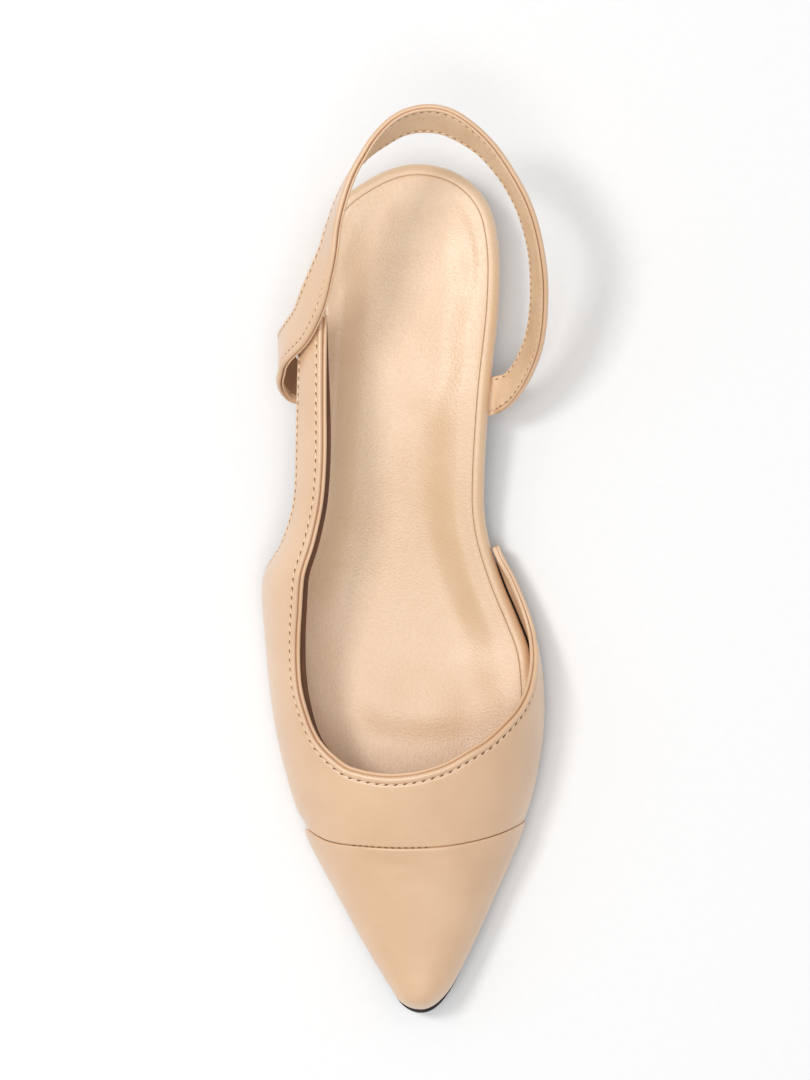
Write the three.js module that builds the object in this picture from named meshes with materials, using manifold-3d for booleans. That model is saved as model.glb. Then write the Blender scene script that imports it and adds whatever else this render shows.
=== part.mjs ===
// Right shoe of a pair of ladies' sling back flats, in millimetres.
// +Z is up, the toe points along -Y and the inner side of the foot is +X.
// The origin is on the floor, under the middle of the heel.
import * as THREE from "three";
import { mergeVertices } from "three/addons/utils/BufferGeometryUtils.js";
import Module from "manifold-3d";

const wasm = await Module();
wasm.setup();

// Driving dimensions
const SHOE_LENGTH = 266; // toe tip to the back of the heel seat
const HEEL_SETBACK = 27; // middle of the heel to the back of the heel seat
const BALL_WIDTH = 86; // widest outline of the upper
const CROWN_HEIGHT = 43; // ridge of the last above its feather edge
const HEEL_HEIGHT = 12; // floor to the underside of the sole at the heel
const LIFT_THICKNESS = 3;
const TOE_SPRING = 6;
const SOLE_THICKNESS = 3;
const SOLE_EDGE = 0.5; // how far the sole stands out beyond the upper
const SOLE_INSET = 0.8; // how far the sole stays inside the open footbed
const BED_THICKNESS = 5.5; // under the open foot
const BED_FRONT = 2; // thickness under the toes
const BED_RIM = 3.7; // width of the wrapped rim round the sock
const SOCK_THICKNESS = 1.4;
const DISH_DEPTH = 2.4; // hollow of the footbed below its rim
const WALL = 2; // leather and lining of the upper
const BEAD_WIDTH = 3; // folded binding along the top edge
const BEAD_RISE = 0.45; // how far the binding stands out of the wall
const CAP_THICKNESS = 0.8;
const CAP_RISE = 0.25; // how far the toe cap stands out of the vamp
const STRAP_WIDTH = 14;
const STRAP_END_WIDTH = 10.8; // the ends narrow along their lower edge
const STRAP_THICKNESS = 1.8;
const STRAP_BEAD = 0.35; // how far the strap's folded top edge stands out
const STRAP_HEIGHT = 62; // floor to the middle of the strap behind the heel
const STRAP_TUCK = 8; // strap end held between footbed and sole
const GAP = 0.3; // clearance between pieces that are glued or sewn
const RIM_ROUND = 1.3; // rounding of the footbed's rim
const RIM_UNDERCUT = 0.3;
const POCKET_SLOPE = 0.3; // lean of the wall round the sock
const SOCK_SHOULDER = 0.4; // rounding of the sock's edge, down and inwards
const SOCK_ROUND = 0.5;
const SOLE_BEVEL = 0.8;
const STRAP_SOFT = 0.4; // rounding of the strap's edges
const STRAP_BEAD_WIDTH = 2.3;
const STRAP_LEAVE = 0.8; // how far the strap lies flat outside the footbed before it rises
const HEEL_INSET = 1.2; // heel block inside the footbed's outline
const HEEL_TAPER = 1.6; // narrowing from the seat down to the top lift
const BREAST_LEAN = 3.2; // slope of the heel's front face
const LIFT_PROUD = 0.1; // top lift inside or outside the heel's lower outline
const LIFT_BEVEL = 0.5;
const TUCK_HEIGHT = 10; // below this the wall draws in to the footbed
const TUCK_LEAST = 1;
const CLEAR_BLOCK = 120; // tall enough to pass through the whole shoe

// Places along the shoe, as shares of its length from the toe tip
const TREAD_START = 0.2308; // flat tread under the ball begins
const TREAD_END = 0.4194;
const SEAT_START = 0.755; // the heel seat is level from here
const BREAST = 0.7866; // front face of the heel
const OPEN_FROM = 0.474; // the upper ends and the bare footbed begins
const OPEN_TO = 0.5633;
const ANCHOR_INNER = 0.7335; // where the strap's two ends go under the footbed
const ANCHOR_OUTER = 0.7465;
const ANCHOR_SLANT = 24; // degrees the ends lean forwards under the footbed

// Section table of the last under the upper, one row for each section from the toe tip.
// along: share of SHOE_LENGTH. lateral, medial: side edges, shares of BALL_WIDTH.
// crown: share of CROWN_HEIGHT. square: how boxy the section is, 2 for an ellipse.
const LAST = [
  { along: 0.005, lateral: 0.034, medial: 0.034, crown: 0.0, square: 2.2 },
  { along: 0.0165, lateral: -0.047, medial: 0.109, crown: 0.235, square: 2.2 },
  { along: 0.0346, lateral: -0.087, medial: 0.157, crown: 0.3, square: 2.2 },
  { along: 0.0522, lateral: -0.123, medial: 0.187, crown: 0.335, square: 2.2 },
  { along: 0.0829, lateral: -0.1815, medial: 0.237, crown: 0.4, square: 2.2 },
  { along: 0.1395, lateral: -0.2795, medial: 0.315, crown: 0.521, square: 2.2 },
  { along: 0.214, lateral: -0.3995, medial: 0.413, crown: 0.684, square: 2.2 },
  { along: 0.2894, lateral: -0.4735, medial: 0.4725, crown: 0.828, square: 2.3 },
  { along: 0.3648, lateral: -0.517, medial: 0.493, crown: 0.93, square: 2.4 },
  { along: 0.4402, lateral: -0.538, medial: 0.465, crown: 0.988, square: 2.5 },
  { along: 0.5117, lateral: -0.544, medial: 0.385, crown: 1.0, square: 2.6 },
  { along: 0.5564, lateral: -0.482, medial: 0.314, crown: 0.98, square: 2.7 },
  { along: 0.609, lateral: -0.444, medial: 0.295, crown: 0.96, square: 2.7 },
  { along: 0.7181, lateral: -0.43, medial: 0.291, crown: 0.93, square: 2.7 },
  { along: 0.8154, lateral: -0.423, medial: 0.302, crown: 0.94, square: 2.7 },
  { along: 0.9008, lateral: -0.4, medial: 0.3, crown: 0.94, square: 2.7 },
];

// Outline of the footbed, from its front tip to the back of the heel seat, in the same shares.
const BED = [
  { along: 0.0128, lateral: 0.034, medial: 0.034 },
  { along: 0.021, lateral: -0.014, medial: 0.08 },
  { along: 0.0373, lateral: -0.045, medial: 0.118 },
  { along: 0.071, lateral: -0.11, medial: 0.171 },
  { along: 0.1088, lateral: -0.178, medial: 0.225 },
  { along: 0.1614, lateral: -0.264, medial: 0.295 },
  { along: 0.214, lateral: -0.343, medial: 0.364 },
  { along: 0.2666, lateral: -0.4, medial: 0.414 },
  { along: 0.3192, lateral: -0.437, medial: 0.441 },
  { along: 0.3718, lateral: -0.467, medial: 0.447 },
  { along: 0.4283, lateral: -0.49, medial: 0.43 },
  { along: 0.466, lateral: -0.502, medial: 0.388 },
  { along: 0.5117, lateral: -0.505, medial: 0.33 },
  { along: 0.5643, lateral: -0.449, medial: 0.281 },
  { along: 0.609, lateral: -0.405, medial: 0.267 },
  { along: 0.7221, lateral: -0.371, medial: 0.286 },
  { along: 0.8273, lateral: -0.349, medial: 0.32 },
  { along: 0.8988, lateral: -0.335, medial: 0.323 },
  { along: 0.9514, lateral: -0.271, medial: 0.286 },
  { along: 0.9871, lateral: -0.123, medial: 0.181 },
  { along: 1, lateral: 0.027, medial: 0.027 },
];

// Cut of the upper, one row for each line from its top edge down to its lower edge.
// topAlong: share of SHOE_LENGTH. topAround: degrees round the section from the ridge, lateral minus.
// footTurn: place along the outline as an angle, 0 at the toe tip, 90 at half length, lateral minus.
// footAround: 90 on the feather edge, less where the lower edge runs free up the side.
const CUT = [
  { topAlong: 0.8154, topAround: -31.5, footTurn: -123.5, footAround: 60 },
  { topAlong: 0.742, topAround: -31, footTurn: -117, footAround: 61 },
  { topAlong: 0.6655, topAround: -30, footTurn: -109, footAround: 62 },
  { topAlong: 0.603, topAround: -31, footTurn: -101.8, footAround: 62 },
  { topAlong: 0.5365, topAround: -33, footTurn: -96, footAround: 69 },
  { topAlong: 0.5077, topAround: -34, footTurn: -93, footAround: 80 },
  { topAlong: 0.4789, topAround: -36.5, footTurn: -90, footAround: 90 },
  { topAlong: 0.4442, topAround: -40.8, footTurn: -84.5, footAround: 90 },
  { topAlong: 0.4025, topAround: -43.4, footTurn: -77, footAround: 90 },
  { topAlong: 0.3708, topAround: -42.7, footTurn: -69, footAround: 90 },
  { topAlong: 0.3301, topAround: -37.6, footTurn: -58, footAround: 90 },
  { topAlong: 0.3013, topAround: -26, footTurn: -45, footAround: 90 },
  { topAlong: 0.2934, topAround: -18, footTurn: -34, footAround: 90 },
  { topAlong: 0.2901, topAround: -11.5, footTurn: -24, footAround: 90 },
  { topAlong: 0.2889, topAround: -6.5, footTurn: -15.5, footAround: 90 },
  { topAlong: 0.2893, topAround: -2.2, footTurn: -8, footAround: 90 },
  { topAlong: 0.2912, topAround: 1.6, footTurn: -1, footAround: 90 },
  { topAlong: 0.2936, topAround: 5, footTurn: 6, footAround: 90 },
  { topAlong: 0.2963, topAround: 8, footTurn: 14, footAround: 90 },
  { topAlong: 0.2996, topAround: 11.5, footTurn: 24, footAround: 90 },
  { topAlong: 0.3055, topAround: 16.3, footTurn: 35, footAround: 90 },
  { topAlong: 0.3162, topAround: 23, footTurn: 46, footAround: 90 },
  { topAlong: 0.3291, topAround: 32, footTurn: 56, footAround: 90 },
  { topAlong: 0.3479, topAround: 42, footTurn: 65, footAround: 90 },
  { topAlong: 0.3638, topAround: 50.7, footTurn: 71, footAround: 90 },
  { topAlong: 0.3837, topAround: 59.3, footTurn: 75.5, footAround: 90 },
  { topAlong: 0.4045, topAround: 66, footTurn: 79, footAround: 90 },
  { topAlong: 0.4244, topAround: 72, footTurn: 82, footAround: 90 },
  { topAlong: 0.4531, topAround: 78, footTurn: 85, footAround: 90 },
  { topAlong: 0.4839, topAround: 81.5, footTurn: 88, footAround: 90 },
  { topAlong: 0.5087, topAround: 83.5, footTurn: 90.5, footAround: 90 },
  { topAlong: 0.5335, topAround: 85.5, footTurn: 93.3, footAround: 90 },
  { topAlong: 0.5524, topAround: 87.5, footTurn: 95.8, footAround: 90 },
];

// Seam of the toe cap seen from above. along and across in shares of length and ball width.
const CAP_SEAM = [
  { across: -0.6, along: 0.2405 },
  { across: -0.4, along: 0.2215 },
  { across: -0.3, along: 0.2075 },
  { across: -0.15, along: 0.2035 },
  { across: 0.0, along: 0.2026 },
  { across: 0.15, along: 0.2052 },
  { across: 0.3, along: 0.214 },
  { across: 0.4, along: 0.225 },
  { across: 0.6, along: 0.2535 },
];

// Middle line of the heel strap between its two ends, from the inner side round the back.
// height: 0 at the strap ends, 1 behind the heel. turn, rise: where its outer face looks,
// in degrees round from +X and up from level.
const STRAP = [
  { along: 0.739, across: 0.343, height: 0.042, turn: -45, rise: -66 },
  { along: 0.7524, across: 0.387, height: 0.111, turn: -20, rise: -42 },
  { along: 0.7828, across: 0.438, height: 0.241, turn: -4, rise: -23 },
  { along: 0.8145, across: 0.461, height: 0.371, turn: 3, rise: -17 },
  { along: 0.8564, across: 0.466, height: 0.531, turn: 10, rise: -14 },
  { along: 0.8837, across: 0.458, height: 0.636, turn: 15, rise: -12 },
  { along: 0.9146, across: 0.436, height: 0.74, turn: 21, rise: -12 },
  { along: 0.9406, across: 0.406, height: 0.82, turn: 28, rise: -12 },
  { along: 0.9664, across: 0.361, height: 0.879, turn: 35, rise: -12 },
  { along: 0.9978, across: 0.284, height: 0.944, turn: 45, rise: -16 },
  { along: 1.017, across: 0.209, height: 0.98, turn: 57, rise: -21 },
  { along: 1.0282, across: 0.141, height: 0.993, turn: 74, rise: -24 },
  { along: 1.0306, across: 0.065, height: 1.0, turn: 98, rise: -23 },
  { along: 1.0241, across: -0.012, height: 0.993, turn: 121, rise: -17 },
  { along: 1.0071, across: -0.084, height: 0.985, turn: 140, rise: -8 },
  { along: 0.9896, across: -0.136, height: 0.974, turn: 151, rise: 2 },
  { along: 0.9697, across: -0.18, height: 0.959, turn: 158, rise: 8 },
  { along: 0.9427, across: -0.218, height: 0.939, turn: 165, rise: 13 },
  { along: 0.9144, across: -0.246, height: 0.911, turn: 171, rise: 17 },
  { along: 0.8841, across: -0.2675, height: 0.882, turn: 173, rise: 24 },
  { along: 0.8592, across: -0.2915, height: 0.84, turn: 172, rise: 30.5 },
  { along: 0.829, across: -0.315, height: 0.772, turn: 167, rise: 32 },
  { along: 0.804, across: -0.357, height: 0.64, turn: 162, rise: 29.5 },
  { along: 0.7858, across: -0.4285, height: 0.466, turn: 164, rise: 32 },
  { along: 0.7742, across: -0.4547, height: 0.326, turn: 171, rise: 25 },
  { along: 0.762, across: -0.4583, height: 0.2, turn: 179, rise: -5 },
  { along: 0.752, across: -0.4425, height: 0.092, turn: 190, rise: -40 },
  { along: 0.7475, across: -0.42, height: 0.036, turn: 202, rise: -68 },
];

// Colours of the leathers and of the sole
const nude = new THREE.MeshStandardMaterial({ color: 0xe6c3a0, roughness: 0.5, metalness: 0 });
const sockLeather = new THREE.MeshStandardMaterial({ color: 0xe9cba6, roughness: 0.45, metalness: 0 });
const soleRubber = new THREE.MeshStandardMaterial({ color: 0x2a211d, roughness: 0.7, metalness: 0 });

const rad = THREE.MathUtils.degToRad;
const TOE_Y = HEEL_SETBACK - SHOE_LENGTH;
const alongToY = (along) => TOE_Y + along * SHOE_LENGTH;
const yToAlong = (y) => (y - TOE_Y) / SHOE_LENGTH;

// Smooth curve through the rows of a table, by the column named key.
function column(rows, key, name, at) {
  let i = 0;
  while (i < rows.length - 2 && rows[i + 1][key] < at) i++;
  const slope = (k) => {
    const a = rows[Math.max(k - 1, 0)];
    const b = rows[Math.min(k + 1, rows.length - 1)];
    return (b[name] - a[name]) / (b[key] - a[key]);
  };
  const from = rows[i];
  const to = rows[i + 1];
  const span = to[key] - from[key];
  const t = (at - from[key]) / span;
  const t2 = t * t;
  const t3 = t2 * t;
  return (2 * t3 - 3 * t2 + 1) * from[name] + (t3 - 2 * t2 + t) * span * slope(i)
    + (3 * t2 - 2 * t3) * to[name] + (t3 - t2) * span * slope(i + 1);
}

// The same curve by row number, for tables that turn back on themselves.
const numbered = (rows) => rows.map((row, index) => ({ ...row, index }));

// Outlines are read by an angle that runs 0 to pi from tip to back, so both ends come out round.
const turnOf = (along, start, end) => {
  const share = THREE.MathUtils.clamp((along - start) / (end - start), 0, 1);
  return Math.acos(1 - 2 * share);
};
const withTurn = (rows, start, end) => rows.map((row) => ({ ...row, turn: turnOf(row.along, start, end) }));
const lastStart = LAST[0].along;
const last = withTurn(LAST, lastStart, 1);
const bedStart = BED[0].along;
const bed = withTurn(BED, bedStart, 1);
const cut = numbered(CUT);

const smooth = (t) => THREE.MathUtils.smoothstep(t, 0, 1);

// Underside of the sole: toe spring, flat tread, waist and level heel seat.
function undersideZ(along) {
  if (along < TREAD_START) return TOE_SPRING * (1 - along / TREAD_START) ** 2;
  return HEEL_HEIGHT * smooth((along - TREAD_END) / (SEAT_START - TREAD_END));
}
const soleTopZ = (along) => undersideZ(along) + SOLE_THICKNESS;
const featherZ = (along) => soleTopZ(along) + GAP;

// Section of the last at a place along the shoe.
function section(along) {
  const turn = turnOf(along, lastStart, 1);
  const lateral = column(last, "turn", "lateral", turn) * BALL_WIDTH;
  const medial = column(last, "turn", "medial", turn) * BALL_WIDTH;
  return {
    ridge: (lateral + medial) / 2,
    reach: Math.max((medial - lateral) / 2, 1e-3),
    crown: Math.max(column(last, "turn", "crown", turn), 0) * CROWN_HEIGHT,
    square: column(last, "turn", "square", turn),
  };
}

// Height of the last's surface over a point of the plan.
function lastZ(x, y) {
  const along = yToAlong(y);
  const s = section(along);
  const share = Math.min(Math.abs(x - s.ridge) / s.reach, 1);
  return featherZ(along) + s.crown * (1 - share ** s.square) ** (1 / s.square);
}

// Plan point at an angle round the section, 0 on the ridge and 90 on the feather edge.
function lastPlan(along, around) {
  const s = section(along);
  const side = Math.sign(around) * Math.sin(rad(Math.min(Math.abs(around), 90))) ** (2 / s.square);
  const turned = Math.abs(around) < 1e-9 ? 0 : Math.sign(around) * Math.abs(side);
  return new THREE.Vector2(s.ridge + s.reach * turned, alongToY(along));
}

// Point on the footbed's outline moved outwards. turn runs from -pi to pi, 0 at the toe, lateral minus.
function bedEdge(turn, out = 0) {
  const at = (t) => {
    const name = t < 0 ? "lateral" : "medial";
    const along = bedStart + ((1 - bedStart) * (1 - Math.cos(t))) / 2;
    return new THREE.Vector2(column(bed, "turn", name, Math.abs(t)) * BALL_WIDTH, alongToY(along));
  };
  const step = 0.01;
  const tangent = at(turn + step).sub(at(turn - step)).normalize();
  return at(turn).add(new THREE.Vector2(tangent.y, -tangent.x).multiplyScalar(out));
}

// A line of points on the last from the top edge down to the lower edge of the upper.
const LINE_STEPS = 40;
function cutLine(index) {
  const value = (name) => column(cut, "index", name, index);
  const top = lastPlan(value("topAlong"), value("topAround"));
  const turn = value("footTurn");
  const footAlong = lastStart + ((1 - lastStart) * (1 - Math.cos(rad(turn)))) / 2;
  const around = Math.min(value("footAround"), 90) * (turn < 0 ? -1 : 1);
  const foot = lastPlan(footAlong, around);
  const bedTurn = Math.sign(turn) * turnOf(footAlong, bedStart, 1);
  const seatTurn = nearestBedTurn(foot, bedTurn);
  const seat = bedEdge(seatTurn, WALL + GAP);
  const outwards = seat.clone().sub(bedEdge(seatTurn)).normalize();
  const shift = seat.sub(foot);
  const share = (plan) => {
    const s = section(yToAlong(plan.y));
    return Math.asin(Math.min(Math.abs(plan.x - s.ridge) / s.reach, 1));
  };
  const startTurn = share(top) * 0.999;
  const endTurn = Math.max(share(foot), startTurn + 1e-3);
  const points = [];
  for (let i = 0; i <= LINE_STEPS; i++) {
    const angle = startTurn + ((endTurn - startTurn) * i) / LINE_STEPS;
    const blend = (Math.sin(angle) - Math.sin(startTurn)) / (Math.sin(endTurn) - Math.sin(startTurn));
    const plan = top.clone().lerp(foot, blend);
    const z = lastZ(plan.x, plan.y);
    const above = z - featherZ(yToAlong(plan.y));
    const tuck = Math.min(TUCK_HEIGHT, section(yToAlong(plan.y)).crown * 0.45 + TUCK_LEAST);
    const draw = Math.max(1 - above / tuck, 0) ** 2;
    plan.addScaledVector(shift, draw);
    points.push(new THREE.Vector3(plan.x, plan.y, z));
  }
  const seated = smooth((value("footAround") - 72) / 16);
  return { points, outwards: new THREE.Vector3(outwards.x, outwards.y, 0), seated };
}

// The footbed outline's turn whose outward normal passes closest to a plan point.
function nearestBedTurn(plan, guess) {
  let best = guess;
  let span = 0.3;
  for (let round = 0; round < 6; round++) {
    const tries = [-2, -1, 0, 1, 2].map((k) => best + (k * span) / 2);
    tries.sort((a, b) => bedEdge(a).distanceTo(plan) - bedEdge(b).distanceTo(plan));
    best = tries[0];
    span /= 2;
  }
  return best;
}

// Points at given distances along a line; minus distances count from its far end.
function spaced(points, distances) {
  const lengths = [0];
  for (let i = 1; i < points.length; i++) lengths.push(lengths[i - 1] + points[i].distanceTo(points[i - 1]));
  const total = lengths[lengths.length - 1];
  return distances(total).map((d) => {
    let i = 0;
    while (i < lengths.length - 2 && lengths[i + 1] < d) i++;
    const t = (d - lengths[i]) / Math.max(lengths[i + 1] - lengths[i], 1e-9);
    return points[i].clone().lerp(points[i + 1], THREE.MathUtils.clamp(t, 0, 1));
  });
}

// Closed solid from a row of rings; folded when its first and last ring have no area.
function loft(rings, folded = false) {
  const positions = [];
  const face = (a, b, c) => positions.push(...a.toArray(), ...b.toArray(), ...c.toArray());
  const around = rings[0].length;
  for (let i = 0; i < rings.length - 1; i++) {
    const near = rings[i];
    const far = rings[i + 1];
    for (let j = 0; j < around; j++) {
      const k = (j + 1) % around;
      face(near[j], near[k], far[k]);
      face(near[j], far[k], far[j]);
    }
  }
  if (!folded) {
    cap(rings[0], true, face);
    cap(rings[rings.length - 1], false, face);
  }
  return solid(positions);
}

// Flat end of a loft, as strips between the two halves of its ring.
function cap(ring, first, face) {
  let a = 0;
  let b = ring.length - 1;
  while (b - a > 1) {
    const next = a + 1;
    if (first) face(ring[a], ring[b], ring[next]);
    else face(ring[a], ring[next], ring[b]);
    if (b - next > 1) {
      if (first) face(ring[next], ring[b], ring[b - 1]);
      else face(ring[next], ring[b - 1], ring[b]);
    }
    a = next;
    b -= 1;
  }
}

// A manifold from loose triangles: shared corners are merged and flat triangles dropped.
const MERGE = 1e-3;
function solid(positions) {
  const loose = new THREE.BufferGeometry();
  loose.setAttribute("position", new THREE.Float32BufferAttribute(positions, 3));
  const merged = mergeVertices(loose, MERGE);
  const index = merged.index.array;
  const kept = [];
  for (let i = 0; i < index.length; i += 3) {
    const [a, b, c] = [index[i], index[i + 1], index[i + 2]];
    if (a !== b && b !== c && a !== c) kept.push(a, b, c);
  }
  const made = new wasm.Manifold(new wasm.Mesh({
    numProp: 3,
    vertProperties: merged.attributes.position.array,
    triVerts: new Uint32Array(kept),
  }));
  if (made.volume() >= 0) return made;
  for (let i = 0; i < kept.length; i += 3) [kept[i + 1], kept[i + 2]] = [kept[i + 2], kept[i + 1]];
  return new wasm.Manifold(new wasm.Mesh({
    numProp: 3,
    vertProperties: merged.attributes.position.array,
    triVerts: new Uint32Array(kept),
  }));
}

// A named mesh from a manifold.
function piece(name, made, material) {
  const mesh = made.getMesh();
  const position = new Float32Array(mesh.numVert * 3);
  for (let i = 0; i < mesh.numVert; i++) {
    position.set(mesh.vertProperties.subarray(i * mesh.numProp, i * mesh.numProp + 3), i * 3);
  }
  const geometry = new THREE.BufferGeometry();
  geometry.setAttribute("position", new THREE.BufferAttribute(position, 3));
  geometry.setIndex(new THREE.BufferAttribute(mesh.triVerts, 1));
  geometry.computeVertexNormals();
  const made3 = new THREE.Mesh(geometry, material);
  made3.name = name;
  return made3;
}

// The upper's middle grid: lines from top edge to lower edge, with unit normals that face out.
const LINES = 72;
const ROWS = 8;
const ROW_CROWDING = 1.6; // above 1 the rows crowd towards the lower edge
const BEAD_ROWS = [0, 0.25, 0.85, 1, 1.25]; // shares of BEAD_WIDTH from the top edge
const BEAD_SHAPE = [-0.5, 0.75, 1, 0.2, 0]; // shares of BEAD_RISE that stand out there
function upperGrid() {
  const rows = (total) => {
    const beads = BEAD_ROWS.map((share) => Math.min(share * BEAD_WIDTH, total * 0.12 * (1 + share)));
    const from = beads[beads.length - 1];
    for (let i = 1; i <= ROWS; i++) beads.push(total - (total - from) * (1 - i / ROWS) ** ROW_CROWDING);
    return beads;
  };
  const grid = [];
  const feet = [];
  for (let i = 0; i <= LINES; i++) {
    const index = ((CUT.length - 1) * i) / LINES;
    const line = cutLine(index);
    grid.push(spaced(line.points, rows));
    feet.push(line);
  }
  const normals = grid.map((line, i) => line.map((point, j) => {
    const before = grid[Math.max(i - 1, 0)][j];
    const after = grid[Math.min(i + 1, LINES)][j];
    const above = line[Math.max(j - 1, 0)];
    const below = line[Math.min(j + 1, line.length - 1)];
    const normal = after.clone().sub(before).cross(below.clone().sub(above));
    return normal.normalize();
  }));
  const outwards = normals[Math.round(LINES / 2)][6].z > 0 ? 1 : -1;
  normals.forEach((line, i) => {
    line.forEach((normal) => normal.multiplyScalar(outwards));
    line[line.length - 1].lerp(feet[i].outwards, feet[i].seated).normalize();
  });
  return { grid, normals };
}
const upperSurface = upperGrid();

// Shell of the upper between two distances from the last's surface; bead adds the folded top edge.
function shell(outer, inner, bead, below = 0) {
  const { grid, normals } = upperSurface;
  const rings = grid.map((line, i) => {
    const at = (j, out) => line[j].clone().addScaledVector(normals[i][j], out);
    const ring = [];
    line.forEach((_, j) => {
      const rise = bead && j < BEAD_SHAPE.length ? BEAD_SHAPE[j] * BEAD_RISE : 0;
      ring.push(at(j, outer + rise));
    });
    if (below > 0) {
      const lowest = line.length - 1;
      for (const out of [outer, inner]) {
        ring.push(at(lowest, out).setComponent(2, line[lowest].z - below));
      }
    }
    for (let j = line.length - 1; j >= 0; j--) {
      const rise = bead && j < 2 ? BEAD_RISE * 0.5 * (1 - j) : 0;
      ring.push(at(j, inner + rise));
    }
    return ring;
  });
  return loft(rings);
}

// Upright block over everything in front of the toe cap's seam, moved forwards by a clearance.
function frontBlock(clearance) {
  const outline = new THREE.Shape();
  const edge = 0.6 * BALL_WIDTH;
  const front = TOE_Y - edge;
  outline.moveTo(-edge, front);
  const steps = 36;
  outline.lineTo(edge, front);
  for (let i = 0; i <= steps; i++) {
    const across = 0.6 - (1.2 * i) / steps;
    const along = column(CAP_SEAM, "across", "along", across);
    outline.lineTo(across * BALL_WIDTH, alongToY(along) - clearance);
  }
  const block = new THREE.ExtrudeGeometry(outline, { depth: CLEAR_BLOCK, bevelEnabled: false });
  block.translate(0, 0, -CLEAR_BLOCK / 4);
  return solid(Array.from(block.attributes.position.array));
}

const capDepth = CAP_THICKNESS - CAP_RISE;
const pocket = shell(2 * WALL, -capDepth - GAP, false, WALL).intersect(frontBlock(0));
const upper = shell(0, -WALL, true).subtract(pocket);
const toeCap = shell(CAP_RISE, -capDepth, false).intersect(frontBlock(GAP));

// Where the two sides of the outline meet at the toe after moving inwards.
function frontTurn(out) {
  if (out >= 0) return 0;
  let low = 0;
  let high = 1.2;
  for (let round = 0; round < 24; round++) {
    const middle = (low + high) / 2;
    if (bedEdge(middle, out).x > bedEdge(-middle, out).x) high = middle;
    else low = middle;
  }
  return high;
}

// Plate between two heights inside the footbed's outline.
// levels: from bottom to top, each with out(turn) from the outline and z(x, y).
function plate(levels, across, steps) {
  const rings = [];
  const starts = levels.map(({ out }) => frontTurn(out(0)));
  for (let i = 0; i <= steps; i++) {
    const sides = levels.map(({ out, z }, level) => {
      const turn = starts[level] + ((Math.PI - starts[level]) * i) / steps;
      const pair = [-turn, turn].map((t) => bedEdge(t, out(turn)));
      if (i === 0 || i === steps) {
        pair[0].lerp(pair[1], 0.5);
        pair[1].copy(pair[0]);
      }
      return pair.map((plan) => new THREE.Vector3(plan.x, plan.y, z(plan.x, plan.y)));
    });
    const span = (level, z) => {
      const row = [];
      for (let k = 1; k < across; k++) {
        const point = sides[level][0].clone().lerp(sides[level][1], k / across);
        point.z = z(point.x, point.y);
        row.push(point);
      }
      return row;
    };
    const top = levels.length - 1;
    rings.push([
      ...sides.map((pair) => pair[0]).reverse(),
      ...span(0, levels[0].z),
      ...sides.map((pair) => pair[1]),
      ...span(top, levels[top].z).reverse(),
    ]);
  }
  return loft(rings, true);
}

// Share of the way from the part under the upper (0) to the bare footbed (1).
const openShare = (turn) => smooth((outlineAlong(turn) - OPEN_FROM) / (OPEN_TO - OPEN_FROM));
const outlineAlong = (turn) => bedStart + ((1 - bedStart) * (1 - Math.cos(turn))) / 2;

// Outsole
const soleReach = GAP + WALL + SOLE_EDGE;
const soleOut = (inset) => (turn) => THREE.MathUtils.lerp(soleReach, -SOLE_INSET, openShare(turn)) - inset;
const underside = (lift) => (x, y) => undersideZ(yToAlong(y)) + lift;
const outsole = plate([
  { out: soleOut(SOLE_BEVEL), z: underside(0) },
  { out: soleOut(0), z: underside(SOLE_BEVEL) },
  { out: soleOut(0), z: underside(SOLE_THICKNESS) },
], 4, 46);

// Footbed with a wrapped, rounded rim and a hollow top
const bedBase = (y) => featherZ(yToAlong(y));
function dish(x, y) {
  const along = yToAlong(y);
  const turn = turnOf(along, bedStart, 1);
  const lateral = column(bed, "turn", "lateral", turn) * BALL_WIDTH + BED_RIM;
  const medial = column(bed, "turn", "medial", turn) * BALL_WIDTH - BED_RIM;
  const middle = (lateral + medial) / 2;
  const half = Math.max((medial - lateral) / 2, 1);
  const side = Math.min(Math.abs(x - middle) / half, 1);
  const ends = smooth((along - 0.2) / 0.16) * smooth((0.985 - along) / 0.09);
  return DISH_DEPTH * ends * smooth((1 - side) / 0.55);
}
function bedThickness(y) {
  return THREE.MathUtils.lerp(BED_FRONT, BED_THICKNESS, smooth((yToAlong(y) - 0.06) / 0.2));
}
const bedTop = (drop) => (x, y) => bedBase(y) + bedThickness(y) - dish(x, y) - drop;
const rimZ = (share) => (x, y) => bedBase(y) + bedThickness(y) * share;
const constant = (value) => () => value;
const BED_STEPS = 42;
const footbedBlank = plate([
  { out: constant(-RIM_UNDERCUT), z: rimZ(0) },
  { out: constant(0), z: rimZ(0.25) },
  { out: constant(0), z: rimZ(0.75) },
  { out: constant(-RIM_ROUND * 0.35), z: rimZ(0.93) },
  { out: constant(-RIM_ROUND), z: rimZ(1) },
  { out: constant(-BED_RIM + POCKET_SLOPE), z: rimZ(1) },
  { out: constant(-BED_RIM), z: bedTop(SOCK_THICKNESS) },
], 6, BED_STEPS);
const sock = plate([
  { out: constant(-BED_RIM - GAP), z: bedTop(SOCK_THICKNESS - GAP) },
  { out: constant(-BED_RIM - GAP), z: bedTop(SOCK_SHOULDER) },
  { out: constant(-BED_RIM - GAP - SOCK_ROUND), z: bedTop(0) },
], 6, BED_STEPS);

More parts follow.
